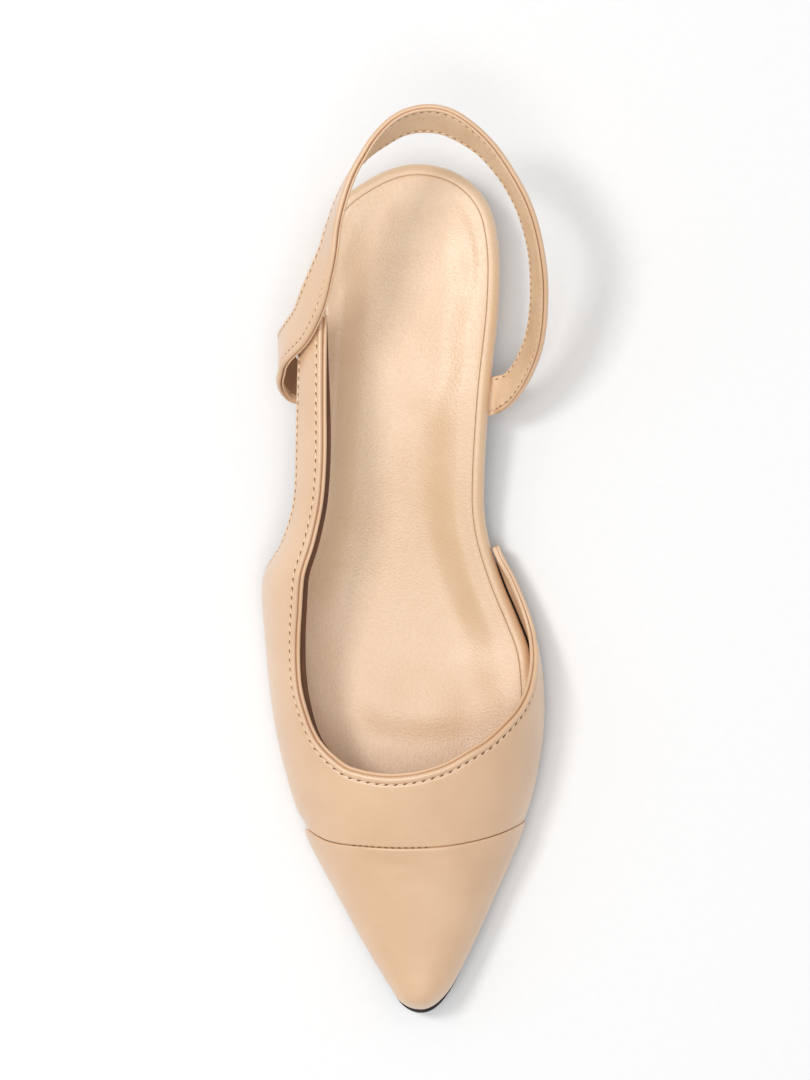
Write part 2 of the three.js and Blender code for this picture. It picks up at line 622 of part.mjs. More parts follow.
// Heel strap: a band swept along its middle line
const anchorZ = (along) => featherZ(along) + STRAP_THICKNESS / 2;
const facing = (turn, rise) => new THREE.Vector3(
  Math.cos(rad(turn)) * Math.cos(rad(rise)),
  Math.sin(rad(turn)) * Math.cos(rad(rise)),
  Math.sin(rad(rise)),
);
function strapRows() {
  const low = anchorZ(ANCHOR_INNER);
  const free = (row) => ({
    at: new THREE.Vector3(
      row.across * BALL_WIDTH,
      alongToY(row.along),
      low + row.height * (STRAP_HEIGHT - low),
    ),
    face: facing(row.turn, row.rise),
  });
  const end = (side, along) => {
    const edge = bedEdge(turnOf(along, bedStart, 1) * side);
    const rise = featherZ(along + 0.01) - featherZ(along - 0.01);
    const under = new THREE.Vector3(0, rise, -0.02 * SHOE_LENGTH).normalize();
    const slant = new THREE.Vector3(side * Math.cos(rad(ANCHOR_SLANT)), Math.sin(rad(ANCHOR_SLANT)), 0);
    const at = (out) => ({
      at: new THREE.Vector3(edge.x, edge.y, 0).addScaledVector(slant, out).setZ(anchorZ(along + (out * slant.y) / SHOE_LENGTH)),
      face: under,
    });
    return [at(-STRAP_TUCK), at(-STRAP_TUCK / 2), at(STRAP_LEAVE)];
  };
  return [...end(1, ANCHOR_INNER), ...STRAP.map(free), ...end(-1, ANCHOR_OUTER).reverse()];
}

// Outline of the band's section: [across its width, out of its outer face], bead at the top edge.
function bandSection(clearance, fromEnd) {
  const w = STRAP_WIDTH / 2 + clearance;
  const low = w - (STRAP_WIDTH - STRAP_END_WIDTH) * (1 - smooth((fromEnd - 3) / 4));
  const beadShare = smooth((fromEnd - 2) / 3);
  const t = STRAP_THICKNESS / 2 + clearance;
  const b = t + STRAP_BEAD * beadShare;
  const soft = STRAP_SOFT;
  const beadFrom = w - STRAP_BEAD_WIDTH;
  return [
    [-low, -t + soft], [-low, t - soft], [-low + soft, t], [beadFrom - soft, t], [beadFrom, b],
    [w - soft, b], [w, 0], [w - soft, -b], [beadFrom - soft, -t], [-low + soft, -t],
  ];
}

function band(clearance, stations, from = 0, to = 1) {
  const rows = strapRows();
  const path = new THREE.CatmullRomCurve3(rows.map((row) => row.at), false, "centripetal");
  const faces = new THREE.CatmullRomCurve3(rows.map((row) => row.face), false, "centripetal");
  const rings = [];
  for (let i = 0; i <= stations; i++) {
    const t = from + ((to - from) * i) / stations;
    const fromEnd = Math.min(t, 1 - t) * (rows.length - 1);
    const outline = bandSection(clearance, fromEnd);
    const at = path.getPoint(t);
    const tangent = path.getTangent(t);
    const face = faces.getPoint(t);
    face.addScaledVector(tangent, -face.dot(tangent)).normalize();
    const alongRim = new THREE.Vector3(0, -1, 0).addScaledVector(face, face.y).normalize();
    const square = face.clone().cross(tangent);
    const up = alongRim.divideScalar(Math.cos(rad(ANCHOR_SLANT))).lerp(square, smooth((fromEnd - 2) / 4));
    rings.push(outline.map(([w, n]) => at.clone().addScaledVector(up, w).addScaledVector(face, n)));
  }
  return loft(rings);
}
const heelStrap = band(0, 63);
const strapEndShare = 3 / (strapRows().length - 1);
const slotted = footbedBlank
  .subtract(band(GAP, 10, 0, strapEndShare))
  .subtract(band(GAP, 10, 1 - strapEndShare, 1));
// Crumbs left at the mouths of the slots are trimmed away.
const footbed = slotted.decompose().sort((a, b) => b.volume() - a.volume())[0];

// Heel block and its top lift, from outlines of the heel seat cut off at the breast
function heelOutline(inset, z, lean) {
  const steps = 34;
  const start = turnOf(BREAST + lean / SHOE_LENGTH, bedStart, 1);
  const points = [];
  for (let i = 0; i <= steps; i++) {
    const turn = start + ((2 * Math.PI - 2 * start) * i) / steps;
    const plan = bedEdge(turn > Math.PI ? turn - 2 * Math.PI : turn, -inset);
    points.push(new THREE.Vector3(plan.x, plan.y, z));
  }
  return points;
}
const heelFoot = HEEL_INSET + HEEL_TAPER;
const heel = loft([
  heelOutline(heelFoot, LIFT_THICKNESS, BREAST_LEAN),
  heelOutline(HEEL_INSET, HEEL_HEIGHT, 0),
]);
const topLift = loft([
  heelOutline(heelFoot + LIFT_BEVEL, 0, BREAST_LEAN + LIFT_BEVEL),
  heelOutline(heelFoot + LIFT_PROUD, LIFT_BEVEL, BREAST_LEAN + LIFT_PROUD),
  heelOutline(heelFoot + LIFT_PROUD, LIFT_THICKNESS, BREAST_LEAN + LIFT_PROUD),
]);

const shoe = new THREE.Group();
shoe.add(
  piece("outsole", outsole, soleRubber),
  piece("heel", heel, nude),
  piece("top_lift", topLift, soleRubber),
  piece("footbed", footbed, nude),
  piece("sock_lining", sock, sockLeather),
  piece("upper", upper, nude),
  piece("toe_cap", toeCap, nude),
  piece("heel_strap", heelStrap, nude),
);
export default shoe;
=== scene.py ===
import bisect
import functools
import math

import bmesh
import bpy
from mathutils import Matrix, Vector


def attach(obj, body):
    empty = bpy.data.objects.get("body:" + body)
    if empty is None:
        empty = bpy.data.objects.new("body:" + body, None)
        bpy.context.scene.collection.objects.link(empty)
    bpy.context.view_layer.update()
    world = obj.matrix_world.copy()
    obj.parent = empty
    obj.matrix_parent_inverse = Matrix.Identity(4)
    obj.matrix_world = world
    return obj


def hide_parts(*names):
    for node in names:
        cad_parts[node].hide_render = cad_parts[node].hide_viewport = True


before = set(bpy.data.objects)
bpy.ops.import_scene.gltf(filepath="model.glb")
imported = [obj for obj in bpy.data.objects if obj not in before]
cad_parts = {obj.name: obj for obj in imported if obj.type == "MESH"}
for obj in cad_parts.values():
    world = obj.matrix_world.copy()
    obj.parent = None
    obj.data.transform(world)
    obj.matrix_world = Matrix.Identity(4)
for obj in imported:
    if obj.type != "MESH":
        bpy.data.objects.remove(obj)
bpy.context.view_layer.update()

bl_info = {
    "name": "Sling Back Flat",
    "version": (1, 0, 0),
    "blender": (4, 5, 0),
    "location": "View3D > Sidebar > Shoe",
    "description": "Dresses a sling back flat in leather, with its stitching, sole and stage",
    "category": "Add Mesh",
}

# Sizes of the shoe in millimetres, the same as the solids'
MM = 0.001
SHOE_LENGTH = 266.0
HEEL_SETBACK = 27.0
BALL_WIDTH = 86.0
CROWN_HEIGHT = 43.0
HEEL_HEIGHT = 12.0
LIFT_THICKNESS = 3.0
TOE_SPRING = 6.0
SOLE_THICKNESS = 3.0
SOLE_EDGE = 0.5
SOLE_INSET = 0.8
SOLE_BEVEL = 0.8
BED_THICKNESS = 5.5
BED_FRONT = 2.0
BED_RIM = 3.7
SOCK_THICKNESS = 1.4
DISH_DEPTH = 2.4
WALL = 2.0
CAP_RISE = 0.25
CAP_THICKNESS = 0.8
STRAP_WIDTH = 14.0
STRAP_END_WIDTH = 10.8
STRAP_THICKNESS = 1.8
STRAP_HEIGHT = 62.0
STRAP_TUCK = 8.0
STRAP_LEAVE = 0.8
TUCK_HEIGHT = 10.0
HEEL_INSET = 1.2
HEEL_TAPER = 1.6
BREAST_LEAN = 3.2
GAP = 0.3

# Only in the scene: more sole edge at the toe tip, and a wider lower edge of the strap near its outer end
TOE_EDGE = 0.9
STRAP_FLARE = 2.8

# Places along the shoe, as shares of its length from the toe tip
TREAD_START = 0.2308
TREAD_END = 0.4194
SEAT_START = 0.755
BREAST = 0.7866
OPEN_FROM = 0.474
OPEN_TO = 0.5633
ANCHOR_INNER = 0.7335
ANCHOR_OUTER = 0.7465
ANCHOR_SLANT = 24.0
TOE_Y = HEEL_SETBACK - SHOE_LENGTH


def smooth(share):
    share = min(max(share, 0.0), 1.0)
    return share * share * (3 - 2 * share)


def mix(low, high, share):
    return low + (high - low) * share


def turn_of(along, start):
    share = min(max((along - start) / (1 - start), 0.0), 1.0)
    return math.acos(1 - 2 * share)


def along_at(turn, start):
    return start + (1 - start) * (1 - math.cos(turn)) / 2


class Table:
    """Rows as listed, read as smooth curves by a key: the first column, its turn, or the row's number."""

    def __init__(self, names, rows, turned=False, numbered=False):
        self.rows = rows
        self.start = rows[0][0]
        self.keys = [row[0] for row in rows]
        if turned:
            self.keys = [turn_of(row[0], self.start) for row in rows]
        if numbered:
            self.keys = list(range(len(rows)))
        self.curves = {name: self.curve([row[i] for row in rows]) for i, name in enumerate(names.split())}

    def curve(self, values):
        keys, last = self.keys, len(values) - 1
        slopes = []
        for i in range(last + 1):
            before, after = max(i - 1, 0), min(i + 1, last)
            slopes.append((values[after] - values[before]) / (keys[after] - keys[before]))
        return values, slopes

    def read(self, name, at):
        values, slopes = self.curves[name]
        low = min(max(bisect.bisect_left(self.keys, at) - 1, 0), len(values) - 2)
        span = self.keys[low + 1] - self.keys[low]
        t = (at - self.keys[low]) / span
        t2, t3 = t * t, t * t * t
        return ((2 * t3 - 3 * t2 + 1) * values[low] + (t3 - 2 * t2 + t) * span * slopes[low]
                + (3 * t2 - 2 * t3) * values[low + 1] + (t3 - t2) * span * slopes[low + 1])


# Sections of the last, as shares of the ball's width and the crown's height
LAST = Table("along lateral medial crown square", [
    (0.005, 0.034, 0.034, 0.0, 2.2),
    (0.0165, -0.047, 0.109, 0.235, 2.2),
    (0.0346, -0.087, 0.157, 0.3, 2.2),
    (0.0522, -0.123, 0.187, 0.335, 2.2),
    (0.0829, -0.1815, 0.237, 0.4, 2.2),
    (0.1395, -0.2795, 0.315, 0.521, 2.2),
    (0.214, -0.3995, 0.413, 0.684, 2.2),
    (0.2894, -0.4735, 0.4725, 0.828, 2.3),
    (0.3648, -0.517, 0.493, 0.93, 2.4),
    (0.4402, -0.538, 0.465, 0.988, 2.5),
    (0.5117, -0.544, 0.385, 1.0, 2.6),
    (0.5564, -0.482, 0.314, 0.98, 2.7),
    (0.609, -0.444, 0.295, 0.96, 2.7),
    (0.7181, -0.43, 0.291, 0.93, 2.7),
    (0.8154, -0.423, 0.302, 0.94, 2.7),
    (0.9008, -0.4, 0.3, 0.94, 2.7),
], turned=True)

# Outline of the footbed in the same shares
BED = Table("along lateral medial", [
    (0.0128, 0.034, 0.034),
    (0.021, -0.014, 0.08),
    (0.0373, -0.045, 0.118),
    (0.071, -0.11, 0.171),
    (0.1088, -0.178, 0.225),
    (0.1614, -0.264, 0.295),
    (0.214, -0.343, 0.364),
    (0.2666, -0.4, 0.414),
    (0.3192, -0.437, 0.441),
    (0.3718, -0.467, 0.447),
    (0.4283, -0.49, 0.43),
    (0.466, -0.502, 0.388),
    (0.5117, -0.505, 0.33),
    (0.5643, -0.449, 0.281),
    (0.609, -0.405, 0.267),
    (0.7221, -0.371, 0.286),
    (0.8273, -0.349, 0.32),
    (0.8988, -0.335, 0.323),
    (0.9514, -0.271, 0.286),
    (0.9871, -0.123, 0.181),
    (1.0, 0.027, 0.027),
], turned=True)

# Cut of the upper: top edge and lower edge of each line, from the quarter's end to the inner side's.
# The first row reaches a little further under the strap than the solids' does
CUT = Table("top_along top_around foot_turn foot_around", [
    (0.8154, -31.5, -127.2, 60),
    (0.742, -31, -117, 61),
    (0.6655, -30, -109, 62),
    (0.603, -31, -101.8, 62),
    (0.5365, -33, -96, 69),
    (0.5077, -34, -93, 80),
    (0.4789, -36.5, -90, 90),
    (0.4442, -40.8, -84.5, 90),
    (0.4025, -43.4, -77, 90),
    (0.3708, -42.7, -69, 90),
    (0.3301, -37.6, -58, 90),
    (0.3013, -26, -45, 90),
    (0.2934, -18, -34, 90),
    (0.2901, -11.5, -24, 90),
    (0.2889, -6.5, -15.5, 90),
    (0.2893, -2.2, -8, 90),
    (0.2912, 1.6, -1, 90),
    (0.2936, 5, 6, 90),
    (0.2963, 8, 14, 90),
    (0.2996, 11.5, 24, 90),
    (0.3055, 16.3, 35, 90),
    (0.3162, 23, 46, 90),
    (0.3291, 32, 56, 90),
    (0.3479, 42, 65, 90),
    (0.3638, 50.7, 71, 90),
    (0.3837, 59.3, 75.5, 90),
    (0.4045, 66, 79, 90),
    (0.4244, 72, 82, 90),
    (0.4531, 78, 85, 90),
    (0.4839, 81.5, 88, 90),
    (0.5087, 83.5, 90.5, 90),
    (0.5335, 85.5, 93.3, 90),
    (0.5524, 87.5, 95.8, 90),
], numbered=True)

# Seam of the toe cap seen from above
CAP_SEAM = Table("across along", [
    (-0.6, 0.2405),
    (-0.4, 0.2215),
    (-0.3, 0.2075),
    (-0.15, 0.2035),
    (0.0, 0.2026),
    (0.15, 0.2052),
    (0.3, 0.214),
    (0.4, 0.225),
    (0.6, 0.2535),
])

# Middle line of the heel strap: place, height share, and where its outer face looks in degrees.
# The rows from 0.8592 to 0.7858 on the outer side stand up to 1.5 mm off the solids'
STRAP = [
    (0.739, 0.343, 0.042, -45, -66),
    (0.7524, 0.387, 0.111, -20, -42),
    (0.7828, 0.438, 0.241, -4, -23),
    (0.8145, 0.461, 0.371, 3, -17),
    (0.8564, 0.466, 0.531, 10, -14),
    (0.8837, 0.458, 0.636, 15, -12),
    (0.9146, 0.436, 0.74, 21, -12),
    (0.9406, 0.406, 0.82, 28, -12),
    (0.9664, 0.361, 0.879, 35, -12),
    (0.9978, 0.284, 0.944, 45, -16),
    (1.017, 0.209, 0.98, 57, -21),
    (1.0282, 0.141, 0.993, 74, -24),
    (1.0306, 0.065, 1.0, 98, -23),
    (1.0241, -0.012, 0.993, 121, -17),
    (1.0071, -0.084, 0.985, 140, -8),
    (0.9896, -0.136, 0.974, 151, 2),
    (0.9697, -0.18, 0.959, 158, 8),
    (0.9427, -0.218, 0.939, 165, 13),
    (0.9144, -0.246, 0.911, 171, 17),
    (0.8841, -0.2675, 0.882, 173, 24),
    (0.8592, -0.293, 0.84, 172, 31.5),
    (0.829, -0.329, 0.772, 167, 41),
    (0.804, -0.373, 0.64, 162, 44),
    (0.7858, -0.4315, 0.466, 164, 35),
    (0.7742, -0.4547, 0.326, 171, 25),
    (0.762, -0.4583, 0.2, 179, -5),
    (0.752, -0.4425, 0.092, 190, -40),
    (0.7475, -0.42, 0.036, 202, -68),
]


# Form of the last, the footbed's outline and the sole's profile

def along_to_y(along):
    return TOE_Y + along * SHOE_LENGTH


def y_to_along(y):
    return (y - TOE_Y) / SHOE_LENGTH


def underside_z(along):
    if along < TREAD_START:
        return TOE_SPRING * (1 - along / TREAD_START) ** 2
    return HEEL_HEIGHT * smooth((along - TREAD_END) / (SEAT_START - TREAD_END))


def feather_z(along):
    return underside_z(along) + SOLE_THICKNESS + GAP


def section(along):
    turn = turn_of(along, LAST.start)
    lateral = LAST.read("lateral", turn) * BALL_WIDTH
    medial = LAST.read("medial", turn) * BALL_WIDTH
    crown = max(LAST.read("crown", turn), 0) * CROWN_HEIGHT
    return (lateral + medial) / 2, max((medial - lateral) / 2, 1e-3), crown, LAST.read("square", turn)


def last_plan(along, around):
    ridge, reach, _, square = section(along)
    side = math.sin(math.radians(min(abs(around), 90))) ** (2 / square)
    return Vector((ridge + reach * math.copysign(side, around), along_to_y(along)))


@functools.lru_cache(maxsize=None)
def bed_frame(turn):
    """Point and outward direction of the footbed's outline."""
    def at(t):
        name = "lateral" if t < 0 else "medial"
        return Vector((BED.read(name, abs(t)) * BALL_WIDTH, along_to_y(along_at(t, BED.start))))
    step = 0.01
    tangent = (at(turn + step) - at(turn - step)).normalized()
    return at(turn), Vector((tangent.y, -tangent.x))


def bed_edge(turn, out=0.0):
    """Point of the outline moved outwards; turn is 0 at the toe, pi at the back, minus on the outer side."""
    point, outwards = bed_frame(turn)
    return point + outwards * out


def nearest_bed_turn(plan, guess):
    best, span = guess, 0.3
    for _ in range(6):
        tries = [best + k * span / 2 for k in (-2, -1, 0, 1, 2)]
        best = min(tries, key=lambda t: (bed_edge(t) - plan).length)
        span /= 2
    return best


# The upper's surface, as lines from its top edge down to its foot

LINE_STEPS = 70
SAMPLES = 36


def seam_side(point):
    """Above zero behind the toe cap's seam, below zero in front of it."""
    return y_to_along(point.y) - CAP_SEAM.read("along", point.x / BALL_WIDTH)


class CutLine:
    """One line of the upper: even points and, once its neighbours are known, their normals."""

    def __init__(self, index):
        top = last_plan(CUT.read("top_along", index), CUT.read("top_around", index))
        turn = CUT.read("foot_turn", index)
        foot_along = along_at(math.radians(turn), LAST.start)
        around = CUT.read("foot_around", index)
        foot = last_plan(foot_along, math.copysign(min(around, 90), turn))
        seat_turn = nearest_bed_turn(foot, math.copysign(turn_of(foot_along, BED.start), turn))
        seat = bed_edge(seat_turn, WALL + GAP)
        outwards = (seat - bed_edge(seat_turn)).normalized()
        self.outwards = Vector((outwards.x, outwards.y, 0))
        self.seated = smooth((around - 72) / 16)
        path = self.path(top, foot, seat - foot)
        lengths = [0.0]
        for before, after in zip(path, path[1:]):
            lengths.append(lengths[-1] + (after - before).length)
        self.length = lengths[-1]
        self.points = []
        for sample in range(SAMPLES + 1):
            want = self.length * sample / SAMPLES
            step = min(max(bisect.bisect_left(lengths, want), 1), len(path) - 1)
            share = (want - lengths[step - 1]) / max(lengths[step] - lengths[step - 1], 1e-9)
            self.points.append(path[step - 1].lerp(path[step], share))
        self.seam = self.length
        for step in range(1, len(path)):
            before, after = seam_side(path[step - 1]), seam_side(path[step])
            if before > 0 >= after:
                self.seam = mix(lengths[step - 1], lengths[step], before / (before - after))
                break
        self.normals = []

    def path(self, top, foot, shift):
        def angle(plan):
            ridge, reach, _, _ = section(y_to_along(plan.y))
            return math.asin(min(abs(plan.x - ridge) / reach, 1))
        start = angle(top) * 0.999
        end = max(angle(foot), start + 1e-3)
        points = []
        for step in range(LINE_STEPS + 1):
            now = mix(start, end, step / LINE_STEPS)
            blend = (math.sin(now) - math.sin(start)) / (math.sin(end) - math.sin(start))
            plan = top.lerp(foot, blend)
            along = y_to_along(plan.y)
            ridge, reach, crown, square = section(along)
            share = min(abs(plan.x - ridge) / reach, 1)
            above = crown * (1 - share ** square) ** (1 / square)
            tuck = min(TUCK_HEIGHT, crown * 0.45 + 1)
            plan = plan + shift * max(1 - above / tuck, 0) ** 2
            points.append(Vector((plan.x, plan.y, feather_z(along) + above)))
        return points

    def at(self, distance, out=0.0):
        """Point at a distance below the top edge, moved outwards from the leather."""
        place = min(max(distance / self.length, 0), 1) * SAMPLES
        low = min(int(place), SAMPLES - 1)
        t = place - low
        p = [self.points[min(max(low + k, 0), SAMPLES)] for k in (-1, 0, 1, 2)]
        point = 0.5 * (2 * p[1] + (p[2] - p[0]) * t + (2 * p[0] - 5 * p[1] + 4 * p[2] - p[3]) * t * t
                       + (3 * p[1] - p[0] - 3 * p[2] + p[3]) * t * t * t)
        return point + self.normals[low].lerp(self.normals[low + 1], t).normalized() * out


@functools.lru_cache(maxsize=None)
def cut_lines(count, start=0.0, end=None):
    """Lines over a stretch of the cut, with normals that face out of the shoe."""
    end = len(CUT.rows) - 1 if end is None else end
    lines = [CutLine(mix(start, end, i / (count - 1))) for i in range(count)]
    for i, line in enumerate(lines):
        before, after = lines[max(i - 1, 0)], lines[min(i + 1, count - 1)]
        for j in range(SAMPLES + 1):
            above, below = line.points[max(j - 1, 0)], line.points[min(j + 1, SAMPLES)]
            normal = (after.points[j] - before.points[j]).cross(below - above).normalized()
            line.normals.append(normal)
        line.normals[-1] = line.normals[-2].copy()
    middle = lines[count // 2].normals[SAMPLES // 2]
    side = 1 if middle.z > 0 else -1
    for line in lines:
        line.normals = [normal * side for normal in line.normals]
        line.normals[-1] = line.normals[-1].lerp(line.outwards, line.seated).normalized()
    return lines


# Making meshes

def shaped(name, rings, folded=False):
    """A solid from a grid laid over closed rings of points; a folded one needs no end faces."""
    bm = bmesh.new()
    rows = len(rings[0])
    bmesh.ops.create_grid(bm, x_segments=rows, y_segments=len(rings) - 1, size=1)
    bm.verts.ensure_lookup_table()
    for number, vert in enumerate(bm.verts):
        ring, row = divmod(number, rows + 1)
        vert.co = Vector(rings[ring][row % rows]) * MM
    bmesh.ops.remove_doubles(bm, verts=bm.verts, dist=1e-7)
    if not folded:
        rim = [edge for edge in bm.edges if edge.is_boundary]
        ends = bmesh.ops.holes_fill(bm, edges=rim, sides=0)["faces"]
        bmesh.ops.triangulate(bm, faces=ends)
    return finished(name, bm)


def finished(name, bm):
    bmesh.ops.recalc_face_normals(bm, faces=bm.faces)
    for face in bm.faces:
        face.smooth = True
    mesh = bpy.data.meshes.new(name)
    bm.to_mesh(mesh)
    bm.free()
    piece = bpy.data.objects.new(name, mesh)
    bpy.context.scene.collection.objects.link(piece)
    return piece


def rounded(piece):
    modifier = piece.modifiers.new("Rounded", "SUBSURF")
    modifier.levels = 1
    modifier.render_levels = 1


def worn_by(piece, materials, slot, *nodes):
    """Gives a piece its materials and lets it stand for its solids."""
    for material in materials:
        piece.data.materials.append(material)
    if nodes:
        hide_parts(*nodes)
    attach(piece, "root")


def front_turn(out):
    """Where the two sides of the outline meet at the toe after moving inwards."""
    if out >= 0:
        return 0.0
    low, high = 0.0, 1.2
    for _ in range(24):
        middle = (low + high) / 2
        if bed_edge(middle, out).x > bed_edge(-middle, out).x:
            high = middle
        else:
            low = middle
    return high


def plate(name, levels, across):
    """A plate inside the footbed's outline; each level has out(turn) and z(x, y)."""
    starts = [front_turn(out(0)) for out, _ in levels]
    rings = []
    for i in range(PLATE_STEPS + 1):
        sides = []
        for (out, z), start in zip(levels, starts):
            turn = start + (math.pi - start) * i / PLATE_STEPS
            pair = [bed_edge(-turn, out(turn)), bed_edge(turn, out(turn))]
            if i in (0, PLATE_STEPS):
                pair = [(pair[0] + pair[1]) / 2] * 2
            sides.append([Vector((p.x, p.y, z(p.x, p.y))) for p in pair])

        def span(level):
            row = []
            for k in range(1, across):
                point = sides[level][0].lerp(sides[level][1], k / across)
                point.z = levels[level][1](point.x, point.y)
                row.append(point)
            return row
        rings.append([pair[0] for pair in reversed(sides)] + span(0)
                     + [pair[1] for pair in sides] + span(-1)[::-1])
    return shaped(name, rings, folded=True)


# Materials

def srgb(code):
    """Linear colour from an sRGB hex value."""
    parts = [int(code[i:i + 2], 16) / 255 for i in (1, 3, 5)]
    return [c / 12.92 if c <= 0.04045 else ((c + 0.055) / 1.055) ** 2.4 for c in parts] + [1.0]


def add(tree, kind, inputs=None, **settings):
    """Adds a node with its settings; an input is a value or another node's output."""
    made = tree.nodes.new(kind)
    for name, value in settings.items():
        setattr(made, name, value)
    for name, value in (inputs or {}).items():
        if isinstance(value, bpy.types.NodeSocket):
            tree.links.new(value, made.inputs[name])
        else:
            made.inputs[name].default_value = value
    return made


def started(name):
    material = bpy.data.materials.new(name)
    material.use_nodes = True
    tree = material.node_tree
    tree.nodes.clear()
    return material, tree, add(tree, "ShaderNodeTexCoord").outputs["Object"]


def blended(tree, low, high, share):
    """Mix of two colours; the mix node keeps its colour inputs at 6 and 7 and its colour output at 2."""
    return add(tree, "ShaderNodeMix", {0: share, 6: low, 7: high}, data_type="RGBA").outputs[2]


def noise(tree, place, size_mm, detail, rough=0.5):
    return add(tree, "ShaderNodeTexNoise", {
        "Vector": place, "Scale": 1 / (size_mm * MM), "Detail": detail, "Roughness": rough}).outputs["Fac"]


def relief(tree, height, depth_mm):
    return add(tree, "ShaderNodeBump", {
        "Height": height, "Distance": depth_mm * MM, "Strength": 1.0}).outputs["Normal"]


def surfaced(tree, inputs):
    shader = add(tree, "ShaderNodeBsdfPrincipled", inputs)
    add(tree, "ShaderNodeOutputMaterial", {"Surface": shader.outputs["BSDF"]})


def ranged(tree, value, low, high, from_low=0.0, from_high=1.0):
    made = add(tree, "ShaderNodeMapRange", {
        "Value": value, "From Min": from_low, "From Max": from_high, "To Min": low, "To Max": high})
    return made.outputs["Result"]


def leather(name, colour, deeper, grain_mm, grain_depth, rough, coat=0.0, mottle_mm=28.0, speck=0.0):
    """Finished leather: a pebbled grain, a slight mottling and an uneven gloss."""
    material, tree, place = started(name)
    mottle = noise(tree, place, mottle_mm, 4.0, 0.55)
    fine = noise(tree, place, grain_mm * 1.6, 3.0, 0.6)
    cells = add(tree, "ShaderNodeTexVoronoi", {
        "Vector": place, "Scale": 1 / (grain_mm * MM)}, feature="SMOOTH_F1").outputs["Distance"]
    tone = blended(tree, colour, deeper, ranged(tree, mottle, 0.0, 1.0, 0.35, 0.7))
    if speck:
        tone = blended(tree, tone, deeper, ranged(tree, fine, 0.0, speck, 0.45, 0.75))
    height = add(tree, "ShaderNodeMath", {
        0: fine, 1: ranged(tree, cells, 0.0, 1.0)}, operation="ADD").outputs[0]
    bump = relief(tree, height, grain_depth)
    gloss = ranged(tree, fine, rough - 0.07, rough + 0.08, 0.3, 0.7)
    surfaced(tree, {"Base Color": tone, "Roughness": gloss, "Normal": bump, "IOR": 1.48,
                    "Coat Weight": coat, "Coat Roughness": 0.34, "Coat Normal": bump})
    return material


def rubber(name, colour, deeper, grain_mm):
    """Moulded rubber: matt, with a faint texture."""
    material, tree, place = started(name)
    fine = noise(tree, place, grain_mm, 3.0)
    surfaced(tree, {"Base Color": blended(tree, colour, deeper, fine), "IOR": 1.5,
                    "Roughness": ranged(tree, fine, 0.55, 0.75), "Normal": relief(tree, fine, 0.04)})
    return material


def plain(name, colour, rough):
    """Thread, or the painted shade of a needle hole: one colour with a fine fibre relief."""
    material, tree, place = started(name)
    bump = relief(tree, noise(tree, place, 0.25, 2.0), 0.03)
    surfaced(tree, {"Base Color": colour, "Roughness": rough, "Normal": bump, "IOR": 1.45})
    return material


_finishes = {}


def finish(name):
    """The shoe's materials by name, made once."""
    chosen = bpy.context.scene.shoe_sizes
    made = {
        # smooth chrome-tanned calf, printed grain too fine to count, soft gloss
        "calf_leather": lambda: leather(
            name, chosen.leather_colour, chosen.leather_shade, 0.7, 0.024, 0.42, coat=0.9),
        # softer sheepskin of the sock and the footbed's rim, open grain that breaks up the gloss
        "sock_sheepskin": lambda: leather(
            name, chosen.sock_colour, chosen.sock_shade, 0.6, 0.055, 0.42,
            coat=0.9, mottle_mm=40, speck=0.35),
        # pigskin lining inside the upper and the strap, duller and specked with pores
        "pigskin_lining": lambda: leather(
            name, srgb("#E6C8A6"), srgb("#D6B08A"), 0.6, 0.05, 0.55, coat=0.3, mottle_mm=14, speck=0.4),
        # flesh side of the leather, left bare inside the strap's loop, dull and fibrous, its brown deepened
        # with painted shade where the loop hides it
        "bare_flesh_side": lambda: leather(
            name, srgb("#B28C6A"), srgb("#906A4C"), 0.9, 0.08, 0.8, speck=0.4),
        # painted shade on the lining's lip, where the inside of the upper lies in shade: dark brown, matt
        "stained_edge": lambda: leather(name, srgb("#6E462B"), srgb("#553523"), 0.6, 0.04, 0.7, speck=0.4),
        # injected rubber outsole and top lift, nearly black
        "sole_rubber": lambda: rubber(name, srgb("#2E2420"), srgb("#1E1715"), 0.6),
        # bonded polyester thread, paler than the leather, with a slight sheen
        "polyester_thread": lambda: plain(name, chosen.thread_colour, 0.55),
        # painted shade of the needle holes, brown and matt
        "needle_hole": lambda: plain(name, srgb("#7D5539"), 0.9),
    }
    if name not in _finishes:
        _finishes[name] = made[name]()
    return _finishes[name]


# Upper

UPPER_LINES = 190
# Length below which a line's rows are drawn together, and where its lining starts
FULL_LINE = 13.0
LINING_TOP = 2.2
# Binding, from the lining's edge over the rolled leather to the stitched ditch: distance below
# the top edge, height over the leather
ROLL = [
    (0.45, -1.96), (0.1, -1.75), (0.0, -1.42), (0.08, -1.1), (0.3, -0.88), (0.65, -0.86),
    (1.1, -1.04), (1.6, -1.14), (1.62, -0.98), (1.08, -0.82), (0.9, -0.4), (0.98, -0.05), (1.22, 0.27),
    (1.65, 0.46), (2.15, 0.46), (2.6, 0.24), (2.9, -0.1), (3.15, -0.34), (3.4, -0.34), (3.65, -0.08),
    (4.1, 0.0),
]
# Lip of the lining on the outer side, coloured dark brown with painted shade: how far it stands into the
# shoe and how high, from the binding's first point, and the same rows where there is none: distance below
# the top edge
LIP = [(0.2, -2.4, 1.9), (1.4, -2.2, 1.6), (1.55, -1.6, 1.2), (1.4, -1.1, 0.85), (0.3, -0.75, 0.6)]
# Lower stretch before the foot or the seam: distance above it, height for a folded and stitched edge
HEM = [(2.6, 0.0), (1.8, -0.02), (1.3, -0.16), (0.85, -0.02), (0.4, 0.0), (0.1, -0.1)]
MAIN_ROWS = 10
TOE_ROWS = 7
INNER_ROWS = [1.0, 0.86, 0.7, 0.54, 0.38, 0.24, 0.13]
